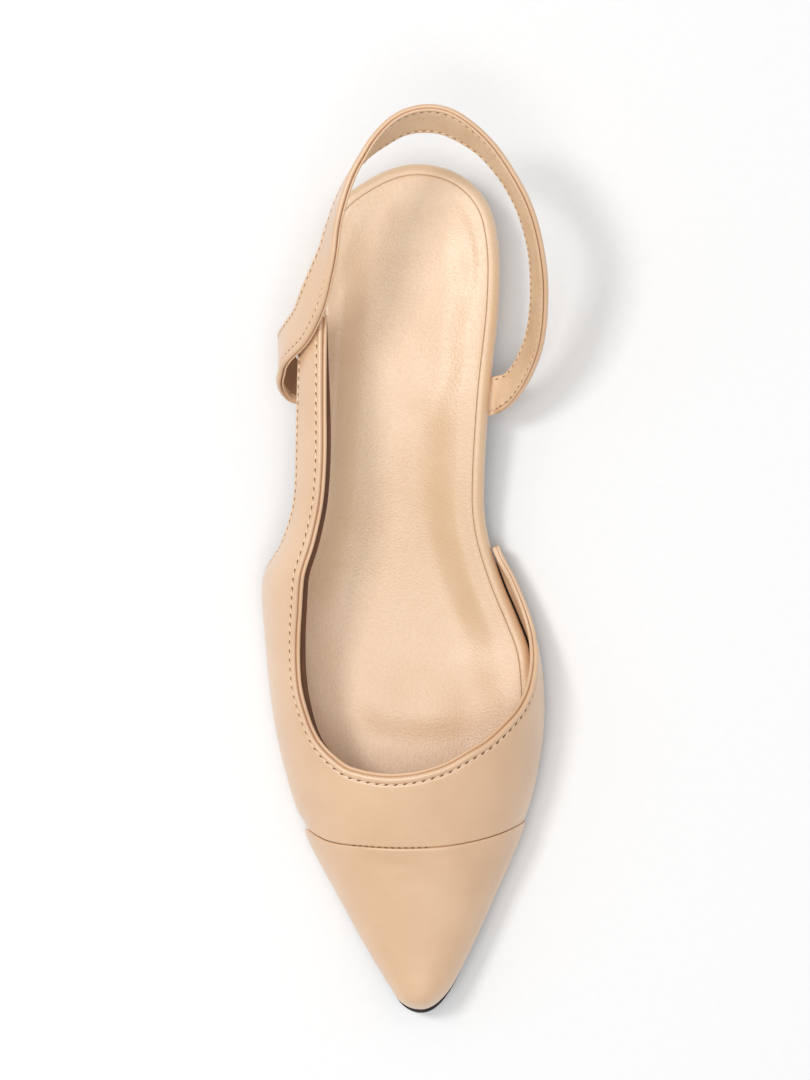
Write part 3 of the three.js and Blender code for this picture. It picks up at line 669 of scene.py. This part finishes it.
# Stitch rows: how far below the top edge, and how far above the folded lower edge
STITCH_DITCH = 3.28
HEM_STITCH = 1.3
FOLD = 0.6
FOLD_DEPTH = 0.7


def row_scale(line):
    """How much a short line's rows are drawn together."""
    return min(line.length / FULL_LINE, 1)


def lip_share(index):
    """How much of the lip there is at a row of the cut: all beside the arch, none at the throat."""
    return smooth((index + 0.8) / 2.6) * smooth((11.6 - index) / 3.4) * mix(0.85, 1.1, index / 9)


def upper_ring(line, free, lip):
    """Points round the wall of the upper on one line, inside first."""
    scale = row_scale(line)
    depth = (CAP_THICKNESS + GAP - CAP_RISE) * smooth((line.length - line.seam) / 4)
    end = min(line.seam, line.length - FOLD * scale)
    ring = [line.at(mix(LINING_TOP * scale, line.length, share), -WALL) for share in INNER_ROWS]
    inwards = Vector((-line.normals[0].x, -line.normals[0].y, 0)).normalized()
    foot = line.at(ROLL[0][0] * scale, ROLL[0][1])
    for reach, height, d in LIP:
        standing = foot + inwards * reach + Vector((0, 0, height))
        ring.append(line.at(d * scale, -WALL).lerp(standing, lip))
    ring += [line.at(max(d, 0) * scale, n * mix(0.6, 1, scale)) for d, n in ROLL]
    start = ROLL[-1][0] * scale
    stop = end - HEM[0][0] * scale
    for row in range(1, MAIN_ROWS):
        ring.append(line.at(mix(start, stop, row / MAIN_ROWS), 0))
    for d, n in HEM:
        drop = n * free if d > 0.5 else n * depth
        ring.append(line.at(end - d * scale, drop))
    for row in range(TOE_ROWS):
        share = row / (TOE_ROWS - 1)
        fold = (1 - math.sqrt(1 - share * share)) * FOLD_DEPTH * (1 - smooth(depth))
        ring.append(line.at(mix(end, line.length, share), -depth - fold))
    return ring


def make_upper():
    lines = cut_lines(UPPER_LINES)
    lips = [lip_share(i * (len(CUT.rows) - 1) / (UPPER_LINES - 1)) for i in range(UPPER_LINES)]
    rings = [upper_ring(line, 1 - line.seated, lip) for line, lip in zip(lines, lips)]
    upper = shaped("upper_leather", rings)
    rounded(upper)
    below, lining = len(INNER_ROWS) - 1, len(INNER_ROWS) + len(LIP)
    materials = [finish("calf_leather"), finish("pigskin_lining"), finish("stained_edge")]
    worn_by(upper, materials, "upper_leather", "upper")
    for polygon in upper.data.polygons:
        rows = [v % len(rings[0]) for v in polygon.vertices]
        lip = lips[polygon.vertices[0] // len(rings[0])]
        # the lip's faces take the dark brown painted shade, the rest of the inside takes the lining
        if len(rows) == 4 and min(rows) >= below and max(rows) <= lining and lip > 0.02:
            polygon.material_index = 2
        elif len(rows) == 4 and max(rows) <= lining:
            polygon.material_index = 1


# Toe cap

CAP_LINES = 120
CAP_ROWS = 34
# Turned edge of the cap: distance behind the seam, height over the vamp's leather
CAP_EDGE = [(0.34, -0.5), (0.2, -0.3), (0.18, -0.05), (0.3, 0.16), (0.6, 0.3), (1.2, 0.34), (2.2, 0.28)]
# Length below which the cap's edge is drawn together, and the depth of its underside
FULL_CAP = 8.0
CAP_UNDER = 0.54

# Soft creases of the cap: points in millimetres across and along, width and depth
CREASES = [
    ([(-17, -188.6), (-9, -190), (0, -191.4), (6, -191.5)], 1.5, 0.3),
    ([(-8, -195.5), (0, -196), (8, -195)], 1.3, 0.18),
    ([(6, -188.5), (14, -187.5), (20, -185.5)], 1.3, 0.16),
]


def crease_depth(x, y):
    """How far the leather sinks at a place into the creases nearby."""
    total = 0.0
    for points, width, depth in CREASES:
        spans = [math.dist(a, b) for a, b in zip(points, points[1:])]
        gone = 0.0
        best = (1e9, 0.0)
        for (ax, ay), (bx, by), span in zip(points, points[1:], spans):
            held = min(max(((x - ax) * (bx - ax) + (y - ay) * (by - ay)) / span, 0), span)
            away = math.hypot(x - mix(ax, bx, held / span), y - mix(ay, by, held / span))
            best = min(best, (away, gone + held))
            gone += span
        away, place = best
        ends = math.sin(math.pi * min(max(place / gone, 0), 1))
        total += depth * ends * math.exp(-(away / width) ** 2)
    return total


def make_cap():
    last = len(CUT.rows) - 1
    crossed = [i for i, line in enumerate(cut_lines(UPPER_LINES)) if line.seam < line.length - FOLD]
    ends = [i * last / (UPPER_LINES - 1) for i in (crossed[0], crossed[-1])]
    lines = cut_lines(CAP_LINES, *ends)
    rings = []
    for line in lines:
        scale = min((line.length - line.seam) / FULL_CAP, 1)
        ring = [line.at(line.seam + d * scale, n * mix(0.7, 1, scale)) for d, n in CAP_EDGE]
        start = line.seam + CAP_EDGE[-1][0] * scale
        for row in range(1, CAP_ROWS + 1):
            distance = mix(start, line.length, row / CAP_ROWS)
            place = line.at(distance)
            ring.append(line.at(distance, CAP_RISE - crease_depth(place.x, place.y)))
        for share in (1.0, 0.75, 0.5, 0.25, 0.1):
            under = mix(line.seam + CAP_EDGE[0][0] * scale, line.length, share)
            ring.append(line.at(under, -CAP_UNDER))
        rings.append(ring)
    cap = shaped("toe_cap_leather", rings)
    rounded(cap)
    worn_by(cap, [finish("calf_leather")], "upper_leather", "toe_cap")


# Footbed, sock, outsole and heel

PLATE_STEPS = 220
RIM_ROLL = 2.5


def constant(value):
    return lambda turn: value


def dish(x, y):
    """How far the footbed is hollowed at a place."""
    along = y_to_along(y)
    turn = turn_of(along, BED.start)
    lateral = BED.read("lateral", turn) * BALL_WIDTH + BED_RIM
    medial = BED.read("medial", turn) * BALL_WIDTH - BED_RIM
    half = max((medial - lateral) / 2, 1)
    side = min(abs(x - (lateral + medial) / 2) / half, 1)
    ends = smooth((along - 0.2) / 0.16) * smooth((0.985 - along) / 0.09)
    return DISH_DEPTH * ends * smooth((1 - side) / 0.55)


def bed_height(y, share=1.0):
    along = y_to_along(y)
    return feather_z(along) + mix(BED_FRONT, BED_THICKNESS, smooth((along - 0.06) / 0.2)) * share


def make_footbed():
    def rim(out, share):
        return constant(out), lambda x, y: bed_height(y, share)
    arc = [math.pi / 2 * i / 8 for i in range(9)]
    roll = [rim(-RIM_ROLL * (1 - math.cos(a)), 0.5 + 0.5 * math.sin(a)) for a in arc]
    levels = [rim(-0.5, 0), rim(-0.15, 0.03), rim(0, 0.12), rim(0, 0.3)] + roll + [
        rim(-3.1, 1.0), rim(-3.6, 0.99),
        (constant(-BED_RIM), lambda x, y: bed_height(y) - 0.9),
        (constant(-BED_RIM), lambda x, y: bed_height(y) - dish(x, y) - SOCK_THICKNESS),
    ]
    footbed = plate("footbed_leather", levels, 8)
    worn_by(footbed, [finish("sock_sheepskin")], "sock_leather", "footbed")


def centripetal(points, share):
    """Point on the smooth curve through points, at a share of its spans."""
    place = share * (len(points) - 1)
    low = min(int(place), len(points) - 2)
    t = place - low
    p1, p2 = points[low], points[low + 1]
    p0 = points[low - 1] if low > 0 else p1 * 2 - p2
    p3 = points[low + 2] if low + 2 < len(points) else p2 * 2 - p1
    d0, d1, d2 = (max((b - a).length ** 0.5, 1e-4) for a, b in ((p0, p1), (p1, p2), (p2, p3)))
    m1 = ((p1 - p0) / d0 - (p2 - p0) / (d0 + d1) + (p2 - p1) / d1) * d1
    m2 = ((p2 - p1) / d1 - (p3 - p1) / (d1 + d2) + (p3 - p2) / d2) * d1
    t2, t3 = t * t, t * t * t
    return p1 * (2 * t3 - 3 * t2 + 1) + m1 * (t3 - 2 * t2 + t) + p2 * (3 * t2 - 2 * t3) + m2 * (t3 - t2)


# Soft banks of the sock: points in millimetres along a bank, its width, and its rise on its left side
BANKS = [
    ([(8, 18), (0, 14), (-7, 3), (-11.5, -10), (-15.7, -23), (-17.3, -36), (-16.7, -52), (-17, -67.5),
      (-19.3, -82), (-22, -93), (-25.6, -106), (-28.2, -119)], 8, -1.6),
    ([(9.7, -35), (7.6, -47.6), (6.9, -62), (7.3, -78), (9.7, -88), (14, -99.6), (18, -110), (22, -120.5),
      (25.8, -132)], 6, 1.8),
    ([(-24, -139), (-16.7, -145), (-8.4, -149), (2, -150), (12.3, -148), (20.6, -143), (25.8, -138)],
     6.5, 1.9),
    ([(16, 13), (17.2, 3), (17.4, -10), (16.4, -25)], 4, -1.0),
]
# How far a bank's ends fade, how far apart its samples lie and how widely they blend
BANK_FADE = 20.0
BANK_STEP = 3.0
BANK_BLEND = 4.0
# Space left between the sock and the footbed's rim
SOCK_CLEAR = 0.03
# Turn from the toe, in radians, over which the sole's extra edge fades
TOE_FADE = 0.8


@functools.lru_cache(maxsize=None)
def bank_samples(number):
    """Even points along a bank, each with its direction."""
    points = [Vector((x, y, 0)) for x, y in BANKS[number][0]]
    fine = [centripetal(points, i / 200) for i in range(201)]
    length = sum((b - a).length for a, b in zip(fine, fine[1:]))
    chosen = fine[::max(int(200 * BANK_STEP / length), 1)]
    return [(a.x, a.y, *(b - a).normalized().xy) for a, b in zip(chosen, chosen[1:])]


def bank_height(x, y):
    total = 0.0
    for number, (points, width, rise) in enumerate(BANKS):
        samples = bank_samples(number)
        reach = [(x - ax) ** 2 + (y - ay) ** 2 for ax, ay, _, _ in samples]
        near = min(reach)
        if near > (width * 5) ** 2:
            continue
        weight = side = 0.0
        for away, (ax, ay, dx, dy) in zip(reach, samples):
            share = math.exp((near - away) / (2 * BANK_BLEND ** 2))
            weight += share
            side += share * ((y - ay) * dx - (x - ax) * dy)
        ends = smooth(math.sqrt(reach[0]) / BANK_FADE) * smooth(math.sqrt(reach[-1]) / BANK_FADE)
        fade = math.exp(-near / (width * 2.2) ** 2) * ends
        total += rise * (smooth(side / weight / width / 2 + 0.5) - 0.5) * fade
    return total


def sock_top(drop):
    return lambda x, y: bed_height(y) - dish(x, y) - drop


def make_sock():
    inset = -BED_RIM - SOCK_CLEAR

    def top(x, y):
        edge = smooth(dish(x, y) / 0.8)
        return sock_top(0)(x, y) + bank_height(x, y) * max(edge, 0.25)
    levels = [
        (constant(inset), sock_top(SOCK_THICKNESS - GAP)),
        (constant(inset), sock_top(0.05)),
        (constant(inset - 0.06), sock_top(0.02)),
        (constant(inset - 0.25), sock_top(0)),
        (constant(inset - 0.9), top),
    ]
    sock = plate("sock_leather", levels, 46)
    worn_by(sock, [finish("sock_sheepskin")], "sock_leather", "sock_lining")


def make_sole():
    reach = GAP + WALL + SOLE_EDGE

    def out(turn):
        opened = smooth((along_at(turn, BED.start) - OPEN_FROM) / (OPEN_TO - OPEN_FROM))
        return mix(reach, -SOLE_INSET, opened) + TOE_EDGE * (1 - smooth(turn / TOE_FADE))

    def level(inset, lift):
        return lambda turn: out(turn) - inset, lambda x, y: underside_z(y_to_along(y)) + lift
    levels = [level(SOLE_BEVEL, 0), level(0.3, 0.25), level(0.05, 0.7), level(0, 1.2), level(0, 2.2),
              level(0.08, 2.75), level(0.3, SOLE_THICKNESS)]
    sole = plate("outsole_rubber", levels, 8)
    worn_by(sole, [finish("sole_rubber")], "sole_rubber", "outsole")


HEEL_STEPS = 120
# Levels from below: share of the height, and how much the edge is rounded off
HEEL_LEVELS = [(0, 0.2), (0.3, 0), (1, 0)]
LIFT_LEVELS = [(0, 0.6), (0.18, 0.1), (1, 0.1)]


def heel_outline(inset, z, lean):
    start = turn_of(BREAST + lean / SHOE_LENGTH, BED.start)
    ring = []
    for i in range(HEEL_STEPS + 1):
        turn = start + (2 * math.pi - 2 * start) * i / HEEL_STEPS
        plan = bed_edge(turn - 2 * math.pi if turn > math.pi else turn, -inset)
        ring.append(Vector((plan.x, plan.y, z)))
    return ring


def heel_block(name, levels, low, high, tapered):
    """A block under the heel seat; a tapered one narrows and leans towards the floor."""
    rings = []
    for share, edge in levels:
        rise = share if tapered else 0
        inset = mix(HEEL_INSET + HEEL_TAPER, HEEL_INSET, rise) + edge
        rings.append(heel_outline(inset, mix(low, high, share), BREAST_LEAN * (1 - rise) + edge))
    block = shaped(name, rings)
    for polygon in block.data.polygons:
        polygon.use_smooth = len(polygon.vertices) == 4 and abs(polygon.normal.z) < 0.5
    return block


def make_heel():
    heel = heel_block("heel_block", HEEL_LEVELS, LIFT_THICKNESS, HEEL_HEIGHT, True)
    worn_by(heel, [finish("calf_leather")], "upper_leather", "heel")
    lift = heel_block("top_lift_rubber", LIFT_LEVELS, 0.0, LIFT_THICKNESS, False)
    worn_by(lift, [finish("sole_rubber")], "sole_rubber", "top_lift")


# Heel strap

STRAP_STATIONS = 230
# Outline of the strap's section: across its width and out of its outer face, in millimetres
STRAP_SECTION = [
    (-6.97, -0.5), (-7.0, 0.0), (-6.97, 0.5), (-6.75, 0.84), (-6.35, 0.95), (-5.95, 0.86), (-5.6, 0.72),
    (-5.25, 0.86), (-4.8, 0.95), (-2.5, 0.97), (0.0, 0.98), (2.4, 0.96), (3.7, 0.92), (4.15, 0.74),
    (4.45, 0.5), (4.75, 0.76), (5.15, 1.14), (5.75, 1.42), (6.35, 1.34), (6.85, 0.96), (7.02, 0.45),
    (6.95, 0.05), (6.62, -0.22), (5.9, -0.3), (5.86, -0.34), (6.1, -0.4), (6.72, -0.46), (6.96, -0.68),
    (6.9, -0.98), (6.55, -1.22), (6.05, -1.2),
    (5.7, -0.96), (5.35, -0.62), (5.05, -0.62), (4.7, -0.9), (3.0, -0.95), (0.0, -0.95), (-2.5, -0.95),
    (-4.8, -0.94), (-5.25, -0.86), (-5.6, -0.72), (-5.95, -0.84), (-6.35, -0.94), (-6.75, -0.84),
]
# First point of the section that is lining
LINING_FROM = 32
# Rows from the outer hidden end over which the strap is unlined and its inner face takes painted shade
BARE_SHADED_ROWS = 8.2
# How far the faces may stand out at the flattened ends
FLAT_FACE = 0.88


def facing(turn, rise):
    turn, rise = math.radians(turn), math.radians(rise)
    return Vector((math.cos(turn) * math.cos(rise), math.sin(turn) * math.cos(rise), math.sin(rise)))


def strap_rows():
    def anchor_z(along):
        return feather_z(along) + STRAP_THICKNESS / 2

    low = anchor_z(ANCHOR_INNER)

    def end(side, along):
        edge = bed_edge(turn_of(along, BED.start) * side)
        rise = feather_z(along + 0.01) - feather_z(along - 0.01)
        under = Vector((0, rise, -0.02 * SHOE_LENGTH)).normalized()
        turn = math.radians(ANCHOR_SLANT)
        slant = Vector((side * math.cos(turn), math.sin(turn), 0))
        rows = []
        for out in (-STRAP_TUCK, -STRAP_TUCK / 2, STRAP_LEAVE):
            point = Vector((edge.x, edge.y, 0)) + slant * out
            point.z = anchor_z(along + out * slant.y / SHOE_LENGTH)
            rows.append((point, under))
        return rows

    free = []
    for along, across, height, turn, rise in STRAP:
        point = Vector((across * BALL_WIDTH, along_to_y(along), mix(low, STRAP_HEIGHT, height)))
        free.append((point, facing(turn, rise)))
    return end(1, ANCHOR_INNER) + free + end(-1, ANCHOR_OUTER)[::-1]


class Strap:
    """Frames along the strap: its middle, its width direction and its outer face."""

    def __init__(self):
        rows = strap_rows()
        places, faces = [r[0] for r in rows], [r[1] for r in rows]
        spans = len(rows) - 1
        self.frames = []
        for i in range(STRAP_STATIONS):
            share = i / (STRAP_STATIONS - 1)
            from_end = min(share, 1 - share) * spans
            at = centripetal(places, share)
            tangent = centripetal(places, min(share + 1e-3, 1)) - centripetal(places, max(share - 1e-3, 0))
            tangent.normalize()
            face = centripetal(faces, share)
            face = (face - tangent * face.dot(tangent)).normalized()
            along_rim = (Vector((0, -1, 0)) + face * face.y).normalized()
            along_rim /= math.cos(math.radians(ANCHOR_SLANT))
            up = along_rim.lerp(face.cross(tangent), smooth((from_end - 2) / 4))
            self.frames.append((at, up, face, from_end))

    # stations near the outer hidden end: unlined, their inner face darkened with painted shade
    def bare_and_shaded(self, station):
        return station > len(self.frames) / 2 and self.frames[station][3] < BARE_SHADED_ROWS

    def at(self, station, across, out):
        at, up, face, from_end = self.frames[station]
        outer = station > len(self.frames) / 2
        narrow = 1 - (smooth((from_end - 2) / 1.5) if outer else smooth((from_end - 3) / 4))
        narrowing = (STRAP_WIDTH - STRAP_END_WIDTH) * narrow
        if outer:
            narrowing -= STRAP_FLARE * smooth(from_end - 2.5) * (1 - smooth((from_end - 5) / 2))
        half = STRAP_WIDTH / 2
        across += narrowing * (half - across) / STRAP_WIDTH
        flat = smooth((from_end - 1.5) / 3)
        return at + up * across + face * mix(max(min(out, FLAT_FACE), -FLAT_FACE), out, flat)


def make_strap():
    strap = Strap()
    band = shaped("heel_strap_leather", [
        [strap.at(i, across, out) for across, out in STRAP_SECTION] for i in range(STRAP_STATIONS)])
    rounded(band)
    materials = [finish("calf_leather"), finish("pigskin_lining"), finish("bare_flesh_side")]
    worn_by(band, materials, "upper_leather", "heel_strap")
    for polygon in band.data.polygons:
        rows = {v % len(STRAP_SECTION) for v in polygon.vertices}
        # the inner face near the outer hidden end is flesh side darkened with painted shade, the rest is
        # lining
        if min(rows) >= LINING_FROM:
            polygon.material_index = 2 if strap.bare_and_shaded(polygon.vertices[0] // len(STRAP_SECTION)) else 1


# Stitching

# Needle holes in the middle of the cap's seam, drawn as dark beads of painted shade: place, reach, share of
# the pitch, and a hole's half sizes
SEAM_MIDDLE = -6
SEAM_REACH = 13
SEAM_PITCH = 0.8
SEAM_HOLE = (0.42, 0.2, 0.14)
# The strap's rows: across its width and out of its outer face
STRAP_STITCHES = {
    "strap_edge": (4.45, 0.66),
    "strap_hem": (-5.6, 0.78),
    "lining_edge": (5.2, -0.78),
    "lining_hem": (-5.6, -0.78),
}
STRAP_UNSEWN = 14


def evenly(path, pitch, offset):
    """Places along a path of (point, normal), one pitch apart: point, normal and direction."""
    lengths = [0.0]
    for (a, _), (b, _) in zip(path, path[1:]):
        lengths.append(lengths[-1] + (b - a).length)
    count = int(lengths[-1] / pitch)
    for k in range(count):
        want = (k + offset) * lengths[-1] / count
        step = min(max(bisect.bisect_left(lengths, want), 1), len(path) - 1)
        share = (want - lengths[step - 1]) / (lengths[step] - lengths[step - 1])
        (a, na), (b, nb) = path[step - 1], path[step]
        yield a.lerp(b, share), na.lerp(nb, share).normalized(), (b - a).normalized()


def beads(name, material, path, pitch, offset, half, slant, lift):
    """A row of small long beads: stitches of thread, or the needle holes between them as painted shade."""
    bm = bmesh.new()
    for point, normal, tangent in evenly(path, pitch, offset):
        side = normal.cross(tangent).normalized()
        normal = tangent.cross(side)
        leaning = (tangent + side * slant).normalized()
        across = normal.cross(leaning)
        axes = Matrix([across * half[1], normal * half[2], leaning * half[0]]).transposed() * MM
        place = Matrix.Translation((point + normal * lift) * MM) @ axes.to_4x4()
        bmesh.ops.create_uvsphere(bm, u_segments=6, v_segments=5, radius=1, matrix=place)
    worn_by(finished(name, bm), [finish(material)], "upper_leather")


def stitched(name, path, pitch, slant=0.0, hole=(0.24, 0.26), thread=(0.28, 0.24)):
    """Thread along a path, with a needle hole of painted shade after each stitch."""
    stitch = (pitch * 0.32, *thread)
    beads(name + "_thread", "polyester_thread", path, pitch, 0.25, stitch, slant * 0.5, 0.1)
    pricked = (pitch * hole[0], hole[1], 0.14)
    beads(name + "_holes", "needle_hole", path, pitch, 0.75, pricked, slant, 0.02)


def make_stitching():
    pitch = bpy.context.scene.shoe_sizes.stitch_pitch / MM
    lines = cut_lines(UPPER_LINES)
    top = [(line.at(STITCH_DITCH * row_scale(line), -0.26), line.normals[2]) for line in lines[2:-12]]
    stitched("topline", top, pitch * 1.2, slant=0.45)
    hem = [(line.at(line.length - FOLD - HEM_STITCH, -0.1), line.normals[-2])
           for line in lines if line.seated < 0.6]
    stitched("quarter_hem", hem[2:], pitch, slant=0.2)
    seam = [(line.at(line.seam - 0.1, 0.0), line.normals[12]) for line in lines
            if line.seam < line.length - FOLD and abs(line.at(line.seam).x - SEAM_MIDDLE) < SEAM_REACH]
    beads("cap_seam_holes", "needle_hole", seam, pitch * SEAM_PITCH, 0.5, SEAM_HOLE, 0.0, 0.02)
    strap = Strap()
    for name, (across, out) in STRAP_STITCHES.items():
        stations = [i for i in range(STRAP_UNSEWN, STRAP_STATIONS - STRAP_UNSEWN)
                    if out > 0 or not strap.bare_and_shaded(i)]
        path = [(strap.at(i, across, out), strap.frames[i][2] * math.copysign(1, out)) for i in stations]
        stitched(name, path, pitch, slant=0.2, hole=(0.18, 0.17), thread=(0.22, 0.2))


# Stage: floor, light and camera

PHOTO_EYE = Vector((44.0, -90.3, 1000.0))
PHOTO_AIM = Vector((-1.5, -90.3, 20.0))
PHOTO_LENS = 105.0
SENSOR_WIDTH = 36
# Half the floor's side and the point the lights look at, in metres
FLOOR_REACH = 4
LIGHT_AIM = Vector((0, -0.1, 0.02))
# Lights: place and side length in metres
LIGHTS = {
    "key_light": ((-0.62, 0.24, 1.42), 0.32),
    "top_light": ((-0.04, -0.22, 1.4), 0.8),
    "side_light": ((-1.3, 0.2, 0.75), 0.9),
}


def make_stage():
    sizes = bpy.context.scene.shoe_sizes
    bm = bmesh.new()
    bmesh.ops.create_grid(bm, x_segments=1, y_segments=1, size=FLOOR_REACH)
    floor = finished("floor", bm)
    # smooth white paper, matt, a shade off pure white
    material, tree, place = started("pale_paper")
    grain = add(tree, "ShaderNodeTexNoise", {"Vector": place, "Scale": 300.0, "Detail": 2.0})
    tone = blended(tree, srgb("#F6F6F6"), srgb("#F3F3F3"), grain.outputs["Fac"])
    surfaced(tree, {"Base Color": tone, "Roughness": 0.95, "Specular IOR Level": 0.1})
    floor.data.materials.append(material)

    world = bpy.context.scene.world = bpy.data.worlds.new("studio")
    world.use_nodes = True
    background = world.node_tree.nodes["Background"]
    background.inputs["Color"].default_value = srgb("#FFFFFF")
    background.inputs["Strength"].default_value = sizes.fill_light
    for name, (spot, size) in LIGHTS.items():
        lamp = bpy.data.lights.new(name, "AREA")
        lamp.size = size
        lamp.energy = getattr(sizes, name)
        holder = bpy.data.objects.new(name, lamp)
        bpy.context.scene.collection.objects.link(holder)
        holder.location = spot
        holder.rotation_euler = (LIGHT_AIM - Vector(spot)).to_track_quat("-Z", "Y").to_euler()

    camera = bpy.data.objects.new("camera", bpy.data.cameras.new("camera"))
    bpy.context.scene.collection.objects.link(camera)
    camera.data.lens = PHOTO_LENS
    camera.data.sensor_width = SENSOR_WIDTH
    back = (PHOTO_EYE - PHOTO_AIM).normalized()
    right = Vector((0, 1, 0)).cross(back).normalized()
    turned = Matrix([right, back.cross(right), back]).transposed().to_4x4()
    camera.matrix_world = Matrix.Translation(PHOTO_EYE * MM) @ turned
    bpy.context.scene.camera = camera
    bpy.context.scene.view_settings.view_transform = "Standard"


def colour_choice(name, text, code):
    return bpy.props.FloatVectorProperty(
        name=name, description=text, default=srgb(code), size=4, min=0, max=1, subtype="COLOR")


class ShoeSizes(bpy.types.PropertyGroup):
    """What can be changed without touching the solids."""

    leather_colour: colour_choice("Leather", "Main colour of the upper's leather", "#E3BE9A")
    leather_shade: colour_choice("Leather shade", "Deeper tone in the upper's leather", "#D9B18C")
    sock_colour: colour_choice("Sock", "Main colour of the sock and the rim", "#E6C6A3")
    sock_shade: colour_choice("Sock shade", "Deeper tone in the sock's leather", "#DBB68F")
    thread_colour: colour_choice("Thread", "Colour of the stitches", "#EBD2B2")
    stitch_pitch: bpy.props.FloatProperty(
        name="Stitch pitch", description="Length from one needle hole to the next",
        default=2.4 * MM, unit="LENGTH")
    key_light: bpy.props.FloatProperty(
        name="Key light", description="Power of the soft light from the upper left",
        default=8.0, unit="POWER")
    top_light: bpy.props.FloatProperty(
        name="Top light", description="Power of the wide light over the shoe",
        default=7.2, unit="POWER")
    side_light: bpy.props.FloatProperty(
        name="Side light", description="Power of the low wide light from the left",
        default=1.0, unit="POWER")
    fill_light: bpy.props.FloatProperty(
        name="Fill light", description="Strength of the light from all round",
        default=0.48, subtype="FACTOR")


class ShoeStep(bpy.types.Operator):
    """Shared by the shoe's operators: runs one making function."""

    bl_idname = "shoe.step"
    bl_label = "Step"
    bl_options = {"REGISTER", "UNDO"}

    def execute(self, context):
        self.make()
        return {"FINISHED"}


class ShoeSole(ShoeStep):
    """Adds the rubber outsole."""

    bl_idname = "shoe.sole"
    bl_label = "Outsole"
    make = staticmethod(make_sole)


class ShoeHeel(ShoeStep):
    """Adds the covered heel and its rubber top lift."""

    bl_idname = "shoe.heel"
    bl_label = "Heel"
    make = staticmethod(make_heel)


class ShoeFootbed(ShoeStep):
    """Adds the wrapped footbed with its rounded rim."""

    bl_idname = "shoe.footbed"
    bl_label = "Footbed"
    make = staticmethod(make_footbed)


class ShoeSock(ShoeStep):
    """Adds the padded sock with its soft banks."""

    bl_idname = "shoe.sock"
    bl_label = "Sock"
    make = staticmethod(make_sock)


class ShoeUpper(ShoeStep):
    """Adds the vamp and quarter with the rolled binding."""

    bl_idname = "shoe.upper"
    bl_label = "Upper"
    make = staticmethod(make_upper)


class ShoeCap(ShoeStep):
    """Adds the toe cap with its turned edge."""

    bl_idname = "shoe.cap"
    bl_label = "Toe cap"
    make = staticmethod(make_cap)


class ShoeStrap(ShoeStep):
    """Adds the heel strap with its turned edges."""

    bl_idname = "shoe.strap"
    bl_label = "Heel strap"
    make = staticmethod(make_strap)


class ShoeStitching(ShoeStep):
    """Adds the thread and the needle holes."""

    bl_idname = "shoe.stitching"
    bl_label = "Stitching"
    make = staticmethod(make_stitching)


class ShoeStage(ShoeStep):
    """Adds the floor, the lights and the camera."""

    bl_idname = "shoe.stage"
    bl_label = "Stage"
    make = staticmethod(make_stage)


STEPS = (ShoeSole, ShoeHeel, ShoeFootbed, ShoeSock, ShoeUpper, ShoeCap, ShoeStrap, ShoeStitching, ShoeStage)


class ShoePanel(bpy.types.Panel):
    """Lists the sizes and the steps in the sidebar."""

    bl_idname = "SHOE_PT_sling_back"
    bl_label = "Sling back flat"
    bl_space_type = "VIEW_3D"
    bl_region_type = "UI"
    bl_category = "Shoe"

    def draw(self, context):
        for name in ShoeSizes.__annotations__:
            self.layout.prop(context.scene.shoe_sizes, name)
        for step in STEPS:
            self.layout.operator(step.bl_idname)


def register():
    bpy.utils.register_class(ShoeSizes)
    bpy.types.Scene.shoe_sizes = bpy.props.PointerProperty(type=ShoeSizes)
    for step in STEPS:
        bpy.utils.register_class(step)
    bpy.utils.register_class(ShoePanel)


def unregister():
    bpy.utils.unregister_class(ShoePanel)
    for step in reversed(STEPS):
        bpy.utils.unregister_class(step)
    del bpy.types.Scene.shoe_sizes
    bpy.utils.unregister_class(ShoeSizes)


def main():
    register()
    for step in STEPS:
        group, name = step.bl_idname.split(".")
        getattr(getattr(bpy.ops, group), name)()


if __name__ == "__main__":
    main()
